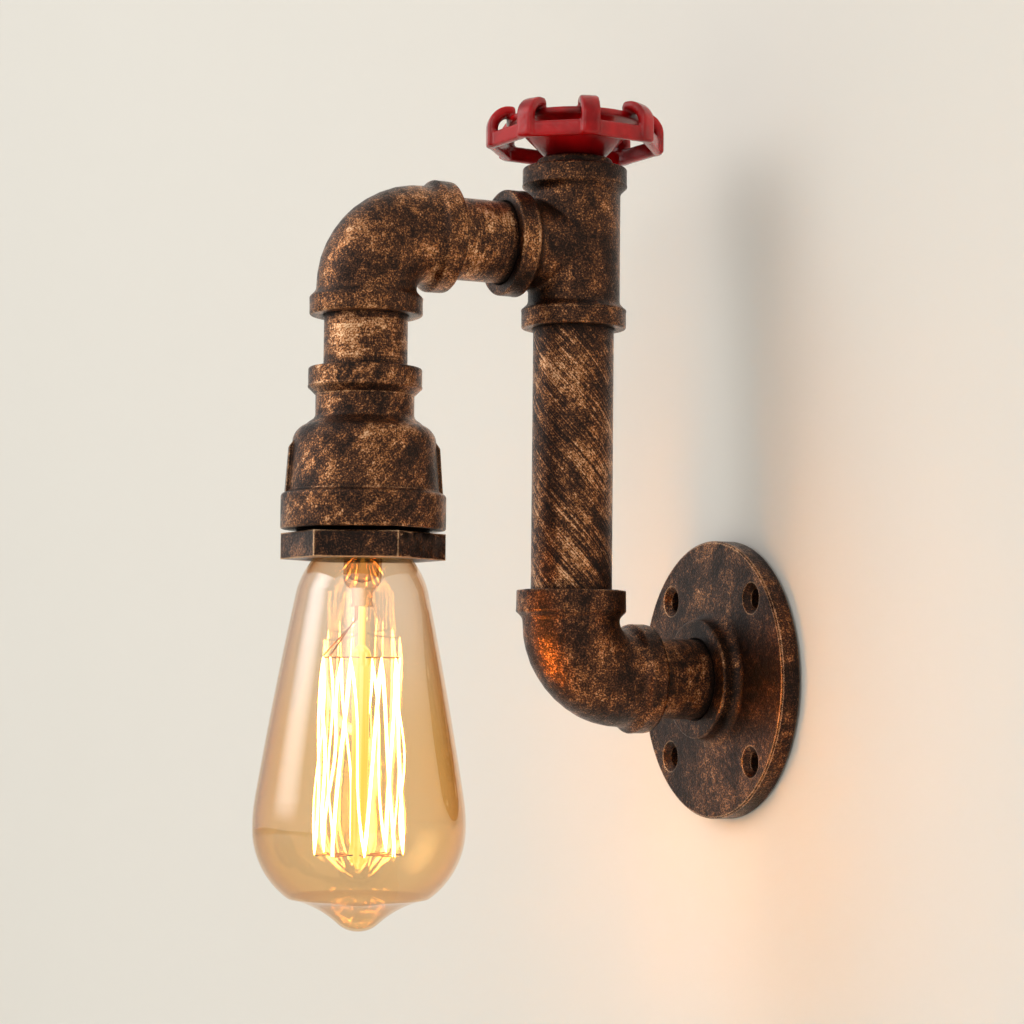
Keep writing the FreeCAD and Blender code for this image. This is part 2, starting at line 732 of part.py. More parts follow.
def make_lamp_cap():
    mid = thread_mid / 2
    top = thread_foot + thread_pitch * CAP_TURNS
    crown = top + 0.9
    cap = thread_sleeve(
        "bulb_cap", mid,
        [(mid - shell_wall, cap_rim + 2.0), (mid + 0.1, cap_rim), (mid + 0.5, cap_rim),
         (mid, cap_rim + 2.0)],
        [(CONTACT_SEAT, crown), (CONTACT_SEAT, crown - shell_wall), (mid - 1.0, top)])
    node(place(cap, 0, lamp_y, 0))
    insulator = turned("cap_insulator", [
        (CONTACT_STUD + 0.02, crown - 1.2),
        (CONTACT_SEAT - 0.02, crown - 1.2),
        (CONTACT_SEAT - 0.02, crown),
        (CONTACT_HEAD + 0.4, crown + 1.7),
        (CONTACT_STUD + 0.02, crown + 1.7),
    ])
    node(place(insulator, 0, lamp_y, 0))
    contact = turned("cap_contact", [
        (0, crown - 1.2),
        (CONTACT_STUD, crown - 1.2),
        (CONTACT_STUD, crown + 1.7),
        (CONTACT_HEAD, crown + 1.7, 6.0),
        (1.5, crown + 2.6),
        (0, crown + 2.6),
    ])
    node(place(contact, 0, lamp_y, 0))
    cement = turned("basing_cement", [
        (neck_od / 2 + 0.03, neck_top - 4.5),
        (mid - thread_swing - shell_wall - 0.05, neck_top - 4.5),
        (mid - thread_swing - shell_wall - 0.05, neck_top),
        (neck_od / 2 + 0.03, neck_top),
    ])
    node(place(cement, 0, lamp_y, 0))


CONTACT_SEAT = 10.0     # radius of the opening in the cap's crown
CONTACT_STUD = 3.0      # radius of the contact's stud
CONTACT_HEAD = 4.4      # radius of the contact's head


def make_lampholder():
    bore, outside = holder_bore / 2, holder_od / 2
    floor = holder_top - holder_web
    insulator = turned("insulator_blank", [
        (bore, holder_foot),
        (outside - 0.8, holder_foot),
        (outside, holder_foot + 0.8),
        (outside, holder_top - 0.8),
        (outside - 0.8, holder_top),
        (0, holder_top),
        (0, floor),
        (bore, floor),
    ])
    screw_ways = joined("insulator_ways", [
        cylinder("insulator_way_{}".format(side), TERMINAL_STUD + 0.05, holder_web + 2.0,
                 lead_spread * sign, 0, floor - 1.0)
        for side, sign in (("left", -1), ("right", 1))])
    node(place(cut("holder_insulator", insulator, screw_ways), 0, lamp_y, 0))
    mid = thread_mid / 2 + shell_gap + shell_wall
    top = thread_foot + thread_pitch * CAP_TURNS
    shell = thread_sleeve(
        "holder_shell", mid,
        [(mid - shell_wall, thread_foot - 0.8), (mid, thread_foot - 0.8)],
        [(mid, floor), (mid - 4.5, floor), (mid - 4.5, floor - shell_wall),
         (mid - shell_wall, floor - shell_wall)])
    node(place(shell, 0, lamp_y, 0))
    contact = doc.addObject("Part::Box", "centre_contact")
    contact.Label = "centre_contact"
    bind(contact, Length=lead_spread * 2 + 2.0, Width=4.0, Height=0.4)
    node(place(contact, -lead_spread - 1.0 + 2.6, lamp_y - 2.0, floor - 0.4))
    blocks, screws = [], []
    for sign in (-1, 1):
        block = doc.addObject("Part::Box", "terminal_block")
        bind(block, Length=terminal_side, Width=terminal_side, Height=terminal_side)
        place(block, lead_spread * sign - terminal_side / 2, -terminal_side / 2, holder_top)
        stud = cylinder("terminal_stud", TERMINAL_STUD, holder_web,
                        lead_spread * sign, 0, holder_top - holder_web)
        side_way = cylinder("terminal_way", 1.25, 2.2, (lead_spread + terminal_side / 2 - 2.0) * sign,
                            0, holder_top + terminal_side / 2,
                            Rotation(Vector(0, 1, 0), QUARTER_TURN * sign))
        blocks.append(cut("terminal_drilled", joined("terminal_solid", [block, stud]), side_way))
        screw = slotted_head("terminal_screw", 2.1, 1.6, 1.2, 1.9, 0.6)
        screws.append(place(screw, (lead_spread + terminal_side / 2) * sign, 0,
                            holder_top + terminal_side / 2,
                            Rotation(Vector(0, 1, 0), QUARTER_TURN * sign)))
    for name, group in (("holder_terminals", blocks), ("terminal_screws", screws)):
        pair = doc.addObject("Part::Compound", name)
        pair.Links = group
        pair.Label = name
        node(place(pair, 0, lamp_y, 0))


TERMINAL_STUD = 1.2     # radius of the stud that fixes a terminal in the insulator


# ---------------------------------------------------------------- glass bulb

def bulb_outline(inset):
    """The bulb's side from its neck to its tip, drawn in by inset, with its bows."""
    return [
        (neck_od / 2 - inset, neck_top),
        (neck_od / 2 - inset, neck_top - 4.6),
        (neck_od / 2 + 1.35 - inset, cap_rim - 0.2, -27.0 + inset),
        (bulb_shoulder / 2 - inset, bulb_shoulder_height, -1400.0),
        (bulb_waist / 2 - inset, bulb_waist_height, -50.0 + inset),
        (bulb_od / 2 - inset, bulb_wide_height, -27.0 + inset),
        (bulb_foot / 2 - inset * 0.65, bulb_foot_height + inset * 0.75, 34.0),
        (tip_od / 2 - inset * 0.45, tip_height + inset * 0.9, -9.0 + inset),
        (0, bulb_end + inset),
    ]


def reversed_outline(corners):
    """The same outline walked the other way, so that each bow stays on its own stretch."""
    walked = []
    for index in range(len(corners) - 1, -1, -1):
        bow = corners[index - 1][2:] if index else ()
        walked.append(corners[index][:2] + tuple(-1 * radius for radius in bow))
    return walked


def make_bulb_glass():
    glass = turned("bulb_glass", bulb_outline(0) + reversed_outline(bulb_outline(number(glass_wall))))
    node(place(glass, 0, lamp_y, 0))


def make_stem():
    """The flared stem: a tube from the neck that closes in a round end and a flat pinch."""
    flare = neck_od / 2 - glass_wall - 0.03
    stem = turned("glass_stem", [
        (flare, neck_top),
        (flare, neck_top - 0.8, -5.0),
        (STEM_RADIUS, neck_top - 6.2),
        (STEM_RADIUS, 31.5, -4.6),
        (PINCH_RADIUS, 27.4, 3.0),
        (PINCH_RADIUS - 0.4, 25.0, 3.0),
        (PINCH_RADIUS, pinch_end),
        (0, pinch_end),
        (0, 29.4),
        (STEM_RADIUS - 2.4, 30.4),
        (STEM_RADIUS - 0.9, 32.0),
        (STEM_RADIUS - 0.9, neck_top - 5.0),
        (flare - 1.6, neck_top),
    ])
    node(place(stem, 0, lamp_y, 0))


STEM_RADIUS = 6.0
PINCH_RADIUS = 3.7


def spokes(height, inner, outer, first_angle, skipped=None):
    """Straight support wires that stand out from the centre rod, one to each hook."""
    wires = []
    for index in range(HOOKS):
        if index == skipped:
            continue
        angle = math.radians(first_angle + index * FULL_TURN / HOOKS)
        way = Vector(math.cos(angle), math.sin(angle), 0)
        wires.append(Part.makeCylinder(number(spoke_wire) / 2, outer - inner,
                                       way * inner + Vector(0, 0, height), way))
    return Part.makeCompound(wires)


def on_ring(radius, angle, height):
    return Vector(radius * math.cos(math.radians(angle)), radius * math.sin(math.radians(angle)),
                  height)


def tube_along(points, bends, radius):
    """A tube on straight runs joined by tangent arcs. bends has one radius for each inner point."""
    edges = []
    here = points[0]
    for index, bend in enumerate(bends):
        corner = points[index + 1]
        before = (points[index] - corner).normalize()
        after = (points[index + 2] - corner).normalize()
        half = before.getAngle(after) / 2
        set_back = bend / math.tan(half)
        first, last = corner + before * set_back, corner + after * set_back
        middle = corner + (before + after).normalize() * (bend / math.sin(half) - bend)
        edges.append(Part.LineSegment(here, first).toShape())
        edges.append(Part.Arc(first, middle, last).toShape())
        here = last
    edges.append(Part.LineSegment(here, points[-1]).toShape())
    path = Part.Wire(edges)
    ring = Part.Wire([Part.Circle(points[0], points[1] - points[0], radius).toShape()])
    tube = path.makePipeShell([ring], True, False)
    drift = tube.Volume / (math.pi * radius ** 2 * path.Length) - 1
    if abs(drift) > 0.01:
        raise ValueError("a tube's volume is off by {:.3f}".format(drift))
    return tube


def filament_points():
    """The filament's corners in order: it runs up and down between the two rows of hooks, with two
    corners at each hook, and starts and ends at the lead wires."""
    step = FULL_TURN / HOOKS
    upper, lower = number(upper_cage) / 2, number(lower_cage) / 2
    high, low = number(upper_spokes), number(lower_spokes)
    start = UPPER_HOOK_TURN - step
    points = [on_ring(upper, start + LEAD_SPLIT, high)]
    for index in range(HOOKS):
        stops = [(lower, LOWER_HOOK_TURN + (index - 1) * step, low)]
        if index < HOOKS - 1:
            stops.append((upper, UPPER_HOOK_TURN + index * step, high))
        for radius, angle, height in stops:
            spread = math.degrees(HOOK_SPREAD / radius)
            points.append(on_ring(radius, angle - spread, height))
            points.append(on_ring(radius, angle + spread, height))
    points.append(on_ring(upper, start - LEAD_SPLIT, high))
    return points


HOOK_SPREAD = 0.75      # from a hook to the filament's corner on each side of it


def make_filament_cage():
    wire = number(spoke_wire) / 2
    strand = number(filament_wire) / 2
    upper = spokes(number(upper_spokes), 1.6, number(upper_cage) / 2 - strand - 0.02, UPPER_HOOK_TURN,
                   LEAD_HOOK)
    lower = spokes(number(lower_spokes), 1.6, number(lower_cage) / 2 - strand - 0.02, LOWER_HOOK_TURN)
    upper_part = by_hand("upper_supports", upper, 0, lamp_y, 0)
    lower_part = by_hand("lower_supports", lower, 0, lamp_y, 0)
    node(upper_part)
    node(lower_part)
    rod = turned("rod_blank", [
        (0, pinch_end),
        (1.1, pinch_end),
        (1.1, rod_top + 2.0),
        (rod_od / 2, rod_top, -8.0),
        (rod_od / 2 + 0.5, upper_spokes, -8.0),
        (rod_od / 2, upper_spokes - 3.0),
        (rod_od / 2, lower_spokes + 3.0, -8.0),
        (rod_od / 2 + 0.6, lower_spokes),
        (rod_od / 2, lower_spokes - 2.4, 2.6),
        (1.0, lower_spokes - 4.4),
        (0, lower_spokes - 4.4),
    ])
    wires = joined("support_ways", [
        by_hand("upper_ways", upper, 0, 0, 0), by_hand("lower_ways", lower, 0, 0, 0)])
    node(place(cut("centre_rod", rod, wires), 0, lamp_y, 0))
    points = filament_points()
    filament = tube_along(points, [strand * 2] * (len(points) - 2), strand)
    print("filament turns at a radius of {:.2f}, wire radius {:.2f}".format(strand * 2, strand))
    node(by_hand("filament", filament, 0, lamp_y, 0))
    # each lead leaves the pinch, bends out and ends on top of the filament's own end
    leads = []
    for end, inner in ((points[0], 0.9), (points[-1], -0.9)):
        across = Vector(end.y, -end.x, 0).normalize() * inner
        out = Vector(end.x, end.y, 0).normalize()
        start = out * 1.9 + across + Vector(0, 0, number(pinch_end))
        knee = start - Vector(0, 0, 4.0)
        tip = end + Vector(0, 0, strand + wire)
        leads.append(tube_along([start, knee, tip], [1.2], wire))
    node(by_hand("lead_wires", Part.makeCompound(leads), 0, lamp_y, 0))


# ---------------------------------------------------------------- dimmer and handwheel

def make_plug_and_dimmer():
    plug_foot = arm_height + tee_reach - engagement
    tee_face = arm_height + tee_reach
    ceiling = plug_top - plug_web
    plug = turned("top_plug", [
        (dimmer_od / 2 + 0.4, plug_foot),
        (pipe_radius, plug_foot),
        (pipe_radius, tee_face - 0.6),
        (plug_face / 2, tee_face),
        (plug_face / 2, plug_top - 0.8, 0.8),
        (plug_face / 2 - 0.8, plug_top),
        (bush_od / 2 + 0.05, plug_top),
        (bush_od / 2 + 0.05, ceiling),
        (dimmer_od / 2 + 0.4, ceiling),
    ])
    node(place(plug, 0, -riser_out, 0))
    running = spindle_od / 2 + spindle_play
    dimmer = turned("dimmer_body", [
        (0, dimmer_foot),
        (dimmer_od / 2 - 0.5, dimmer_foot),
        (dimmer_od / 2, dimmer_foot + 0.5),
        (dimmer_od / 2, ceiling),
        (bush_od / 2, ceiling),
        (bush_od / 2, bush_top),
        (running, bush_top),
        (running, SPINDLE_FOOT - 0.1),
        (0, SPINDLE_FOOT - 0.1),
    ])
    node(place(dimmer, 0, -riser_out, 0))
    nut_blank = prism("dimmer_nut_blank", HEX_SIDES, 5.6, 2.2, plug_top)
    nut_bore = cylinder("dimmer_nut_bore", bush_od / 2 + 0.05, 4.0, 0, 0, plug_top - 1.0)
    node(place(cut("dimmer_nut", nut_blank, nut_bore), 0, -riser_out, 0))


SPINDLE_FOOT = 160.0        # height of the spindle's lower end, inside the dimmer
HUB_FLOOR = 3.0             # hub foot to the shoulder that the wheel sits on
HUB_STEP = 2.5              # radius of the spindle's stepped end
BOSS_TOP = 180.0            # height of the hub's boss
WHEEL_SCREW_RADIUS = 1.5
WASHER_HEIGHT = 1.0


def make_spindle():
    shoulder = wheel_foot + HUB_FLOOR
    screw_room = cylinder("spindle_screw_room", WHEEL_SCREW_RADIUS + 0.03, 8.0, 0, 0, BOSS_TOP - 7.0)
    shaft = turned("spindle_blank", [
        (0, SPINDLE_FOOT),
        (spindle_od / 2 - 0.4, SPINDLE_FOOT),
        (spindle_od / 2, SPINDLE_FOOT + 0.4),
        (spindle_od / 2, shoulder),
        (HUB_STEP, shoulder),
        (HUB_STEP, BOSS_TOP - 0.2),
        (0, BOSS_TOP - 0.2),
    ])
    node(place(cut("spindle", shaft, screw_room), 0, -riser_out, 0))


def make_wheel_fixing():
    washer = turned("wheel_washer", [
        (WHEEL_SCREW_RADIUS + 0.1, BOSS_TOP),
        (5.0, BOSS_TOP),
        (5.0, BOSS_TOP + WASHER_HEIGHT - 0.2),
        (4.8, BOSS_TOP + WASHER_HEIGHT),
        (WHEEL_SCREW_RADIUS + 0.1, BOSS_TOP + WASHER_HEIGHT),
    ])
    node(place(washer, 0, -riser_out, 0))
    screw = slotted_head("wheel_screw", 3.2, 2.2, WHEEL_SCREW_RADIUS, 6.5, 0.9)
    node(place(screw, 0, -riser_out, BOSS_TOP + WASHER_HEIGHT, about_z(35)))


def make_handwheel():
    """A pressed wheel: a dished web with an inner ring, eight arches and an octagonal band."""
    foot, wall = wheel_foot, wheel_wall
    hub, ring = wheel_hub / 2, ring_od / 2
    floor = foot + HUB_FLOOR
    # the web climbs at 45 degrees from the hub to the ring
    climb = ring_top - wall - foot - 1.0
    dish = turned("wheel_dish", [
        (HUB_STEP + 0.05, floor),
        (BUSH_ROOM, floor),
        (BUSH_ROOM, foot),
        (hub - 0.6, foot, 0.6),
        (hub, foot + 0.6),
        (hub + climb - 0.6, foot + climb),
        (ring - 0.8, ring_top - wall, 0.8),
        (ring, ring_top - wall + 0.8),
        (ring, ring_top - 0.8, 0.8),
        (ring - 0.8, ring_top),
        (ring - 3.4, ring_top, 1.0),
        (ring - 4.3, ring_top - 0.6),
        (hub - 0.4, floor + wall),
        (5.6, floor + wall),
        (5.6, BOSS_TOP),
        (HUB_STEP + 0.05, BOSS_TOP),
    ])
    outer = wheel_corners / 2
    arch_foot = band_foot + 0.4
    inner = outer - arch_wall
    arch = padded("wheel_arch", "XZ_Plane", [
        (inner, arch_foot),
        (outer + 0.2, arch_foot),
        (outer + 0.2, arch_top - ARCH_ROUND, ARCH_ROUND),
        (outer + 0.2 - ARCH_ROUND, arch_top),
        (ring - 1.6, arch_top),
        (ring - 2.6, ring_top - 0.6),
        (ring - 0.8, arch_top - arch_wall),
        (inner - 1.8, arch_top - arch_wall, -1.8),
        (inner, arch_top - arch_wall - 1.8),
    ], arch_width)
    doc.recompute()
    softened = doc.addObject("Part::Fillet", "arch_softened")
    softened.Base = arch
    softened.Edges = [(index + 1, 0.8, 0.8) for index, edge in enumerate(arch.Shape.Edges)
                      if edge.CenterOfMass.z > number(arch_foot) + 0.5
                      and abs(abs(edge.CenterOfMass.y) - number(arch_width) / 2) < 0.01
                      and edge.CenterOfMass.x > number(ring) - 1.0]
    arches = []
    for index in range(WHEEL_SIDES):
        copy = doc.addObject("App::Link", "arch_at_{}".format(index))
        copy.LinkedObject = softened
        copy.Placement = FreeCAD.Placement(Vector(), about_z(index * FULL_TURN / WHEEL_SIDES))
        arches.append(copy)
    band_blank = prism("band_blank", WHEEL_SIDES, outer, band_height, band_foot)
    inside = outer - band_wall / math.cos(math.pi / WHEEL_SIDES)
    band_hole = prism("band_hole", WHEEL_SIDES, inside, band_height + 2.0, band_foot - 1.0)
    band = cut("wheel_band", band_blank, band_hole)
    wheel = joined("handwheel", [dish, band] + arches)
    node(place(wheel, 0, -riser_out, 0, about_z(number(wheel_turn))))


BUSH_ROOM = 6.4         # radius of the recess that clears the dimmer's nut
ARCH_ROUND = 4.4        # outer rounding of an arch


# ---------------------------------------------------------------- wiring

def make_wiring():
    """Three insulated leads inside the pipes: the feed to the dimmer, the switched lead from it to
    the lampholder, and the neutral. Each bend is round the middle of the fitting that it is in."""
    out, reach, height = number(riser_out), number(drop_reach), number(arm_height)
    side, spread, low = number(feed_side), number(lead_spread), number(feed_low)
    radius, bend = number(lead_od) / 2, number(lead_bend)
    elbow_middle = number(elbow_bend)
    start = -number(ferrule_length)
    riser_y = -out - low
    drop_y = -out - reach
    terminals = number(holder_top) + number(terminal_side)
    dimmer = number(dimmer_foot)
    switched_y = -out + 5.0
    node(by_hand("feed_lead", tube_along([
        Vector(-side, start, -low),
        Vector(-side, riser_y, -low),
        Vector(-side, riser_y, dimmer),
    ], [elbow_middle + low], radius)))
    node(by_hand("switched_lead", tube_along([
        Vector(-spread, switched_y, dimmer),
        Vector(-spread, switched_y, height),
        Vector(-spread, drop_y, height),
        Vector(-spread, drop_y, terminals),
    ], [bend, elbow_middle], radius)))
    node(by_hand("neutral_lead", tube_along([
        Vector(spread, start, -low),
        Vector(spread, riser_y, -low),
        Vector(spread, riser_y, height),
        Vector(spread, drop_y, height),
        Vector(spread, drop_y, terminals),
    ], [elbow_middle + low, bend, elbow_middle], radius)))
    tubes = []
    for x in (-side, spread):
        sleeve = Part.makeCylinder(radius + 0.3, 3.0, Vector(x, start, -low), Vector(0, 1, 0))
        pin = Part.makeCylinder(0.7, -start - 3.0 - 0.5, Vector(x, start + 3.0, -low), Vector(0, 1, 0))
        tubes.append(sleeve.fuse(pin).removeSplitter())
    node(by_hand("lead_ferrules", Part.makeCompound(tubes)))


# ---------------------------------------------------------------- build, check and write

make_wall_flange()
make_earth_screw()
make_pipework()
make_reducer()
make_bushing()
make_lampholder()
make_lamp_cap()
make_bulb_glass()
make_stem()
make_filament_cage()
make_plug_and_dimmer()
make_spindle()
make_handwheel()
make_wheel_fixing()
make_wiring()
doc.recompute()

faults = []
for thing in doc.Objects:
    if any(word in thing.State for word in ("Invalid", "Error")):
        faults.append("{} is {}".format(thing.Name, thing.State))
for piece in nodes:
    if piece.Shape.isNull() or not piece.Shape.isValid() or not piece.Shape.Solids:
        faults.append("{} has no valid solid".format(piece.Label))
if faults:
    raise RuntimeError("; ".join(faults))

os.makedirs("parts", exist_ok=True)
for piece in nodes:
    piece.Shape.exportStep("parts/{}.step".format(piece.Label))
    box = piece.Shape.BoundBox
    print("{:18s} {:2d} solid {:9.1f} mm3  x {:6.1f} {:6.1f}  y {:7.1f} {:7.1f}  z {:6.1f} {:6.1f}".format(
        piece.Label, len(piece.Shape.Solids), piece.Shape.Volume,
        box.XMin, box.XMax, box.YMin, box.YMax, box.ZMin, box.ZMax))
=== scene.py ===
"""Looks of the industrial pipe wall light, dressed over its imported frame.

Blender's unit is the metre and z is up. The wall's face is at y = 0 and the lamp hangs towards -y.
Sizes are written in millimetres and turned to metres by MM.
"""

import json
import math

import bpy
from mathutils import Matrix, Vector

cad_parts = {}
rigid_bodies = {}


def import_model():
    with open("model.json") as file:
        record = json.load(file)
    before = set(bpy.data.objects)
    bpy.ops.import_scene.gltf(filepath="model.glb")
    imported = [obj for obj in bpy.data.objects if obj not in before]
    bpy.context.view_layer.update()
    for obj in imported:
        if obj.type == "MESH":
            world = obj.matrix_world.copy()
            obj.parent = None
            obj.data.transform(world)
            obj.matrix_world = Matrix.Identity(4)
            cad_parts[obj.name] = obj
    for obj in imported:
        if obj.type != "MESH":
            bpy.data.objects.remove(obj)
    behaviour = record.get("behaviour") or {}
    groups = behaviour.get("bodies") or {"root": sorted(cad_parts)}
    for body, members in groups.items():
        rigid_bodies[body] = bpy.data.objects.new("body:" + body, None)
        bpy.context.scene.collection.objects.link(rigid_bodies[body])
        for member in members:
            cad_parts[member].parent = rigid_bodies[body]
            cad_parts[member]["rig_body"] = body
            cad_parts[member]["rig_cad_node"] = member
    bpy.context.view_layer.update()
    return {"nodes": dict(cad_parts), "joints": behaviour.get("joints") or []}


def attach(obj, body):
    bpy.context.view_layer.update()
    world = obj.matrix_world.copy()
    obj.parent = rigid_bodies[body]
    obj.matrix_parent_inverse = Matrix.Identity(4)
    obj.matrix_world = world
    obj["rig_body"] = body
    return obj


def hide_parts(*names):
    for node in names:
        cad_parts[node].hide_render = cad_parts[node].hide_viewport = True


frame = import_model()
parts = frame["nodes"]
scene = bpy.context.scene
scene.view_settings.view_transform = "Standard"

MM = 0.001


# ---------------------------------------------------------------------------
# Small helpers
# ---------------------------------------------------------------------------

def tone(code):
    """A colour as painters write it, #rrggbb, in the linear values that shaders take."""
    levels = [int(code[i:i + 2], 16) / 255 for i in (1, 3, 5)]
    linear = [v / 12.92 if v <= 0.04045 else ((v + 0.055) / 1.055) ** 2.4 for v in levels]
    return (*linear, 1.0)


def add(tree, kind, inputs=None, stops=None, **settings):
    """Adds one shader node, with its settings, its socket values or links, and its colour stops.

    A Mix node of colours has its factor on socket 0, its two colours on 6 and 7, and gives output 2.
    """
    made = tree.nodes.new("ShaderNode" + kind)
    for name, value in settings.items():
        setattr(made, name, value)
    for name, value in (inputs or {}).items():
        if isinstance(value, bpy.types.NodeSocket):
            tree.links.new(value, made.inputs[name])
        else:
            made.inputs[name].default_value = value
    if stops:
        band = made.color_ramp.elements
        while len(band) < len(stops):
            band.new(0.5)
        for element, (place, code) in zip(band, stops):
            element.position = place
            element.color = tone(code)
    return made


def every(size):
    """The scale of a noise whose lumps are this many millimetres wide, or as wide on each axis."""
    if isinstance(size, tuple):
        return tuple(every(side) for side in size)
    return 1 / (size * MM)


def blank(name):
    """A material with an empty node tree, its tree, and its output node."""
    material = bpy.data.materials.new(name)
    material.use_nodes = True
    material.node_tree.nodes.clear()
    return material, material.node_tree, add(material.node_tree, "OutputMaterial")


def wear(finish, *nodes):
    """Gives CAD nodes a finish."""
    for node in nodes:
        parts[node].data.materials.clear()
        parts[node].data.materials.append(finish)


def upright_axis(joint_name):
    """The axis that a joint turns about, which is upright here: its point at height 0, in metres."""
    place = next(joint["pos_m"] for joint in frame["joints"] if joint["name"] == joint_name)
    return Vector((place[0], place[1], 0.0))


RISER_AXIS = upright_axis("wheel_turn")
LAMP_AXIS = upright_axis("bulb_turn")


# ---------------------------------------------------------------------------
# Bronzed metal: the pipes and fittings
# ---------------------------------------------------------------------------

# the patina, from the untouched hollows to the corners that the rag has polished; in the hollows its dark
# is also painted shade
PATINA, THIN_PATINA, COPPER, BRIGHT_COPPER = "#1c100a", "#543421", "#b47649", "#efc49a"

RUBBED_AREA = 13.3      # width of a patch that one pass of the rag has bared
SAND_LUMP = 2.4         # lumps and pits that the sand mould leaves
SKIN_GRAIN = 0.55       # grit of the cast skin: finer on iron, drawn this coarse so that it shows
WORN_CORNER = 0.9       # radius to which the edges are worn
# the nearness of a neighbour also darkens the metal, partly as painted shade
CREVICE = 5.0           # how near a neighbour has to be to keep the rag off

# each piece takes its own stretch of the pattern, this far from the last one, in metres
NEXT_STRETCH = Vector((0.31, 0.17, 0.23))

# how a piece was brushed by hand: for coarse and fine strokes their size in millimetres on X, Y and
# Z, and how much they rub. A twist, in radians per metre of height, slants them round a centre.
AROUND_UPRIGHT = {"strokes": [((14, 14, 3.8), 1.2), ((11, 11, 0.53), 1.0)]}
AROUND_LEVEL = {"strokes": [((14, 3.8, 14), 1.2), ((11, 0.53, 11), 1.0)]}
DOWN_RISER = {"strokes": [((3.3, 3.3, 29), 1.1), ((0.67, 0.67, 14), 2.3)],
              "twist": 70, "centre": RISER_AXIS}
UP_REDUCER = {"strokes": [((6.7, 6.7, 22), 1.0), ((1.1, 1.1, 12.5), 0.8)],
              "twist": -40, "centre": LAMP_AXIS}


def stroke_marks(tree, place, here, brushing):
    """Noise drawn out along the brush strokes, as (socket, weight) pairs.

    Straight strokes start from here, the piece's own stretch of the pattern, and twisted ones from
    the true place, because they turn about a real axis.
    """
    pulled = here
    if "twist" in brushing:
        height = add(tree, "SeparateXYZ", {"Vector": place}).outputs["Z"]
        twist = add(tree, "Math", {0: height, 1: brushing["twist"]}, operation="MULTIPLY").outputs[0]
        pulled = add(tree, "VectorRotate",
                     {"Vector": place, "Center": brushing["centre"], "Angle": twist},
                     rotation_type="Z_AXIS").outputs["Vector"]
    marks = []
    for size, weight in brushing["strokes"]:
        drawn = add(tree, "Mapping", {"Vector": pulled, "Scale": every(size)}).outputs["Vector"]
        noise = add(tree, "TexNoise",
                    {"Vector": drawn, "Scale": 1.0, "Detail": 3.0, "Roughness": 0.6})
        marks.append((noise.outputs["Fac"], weight))
    return marks


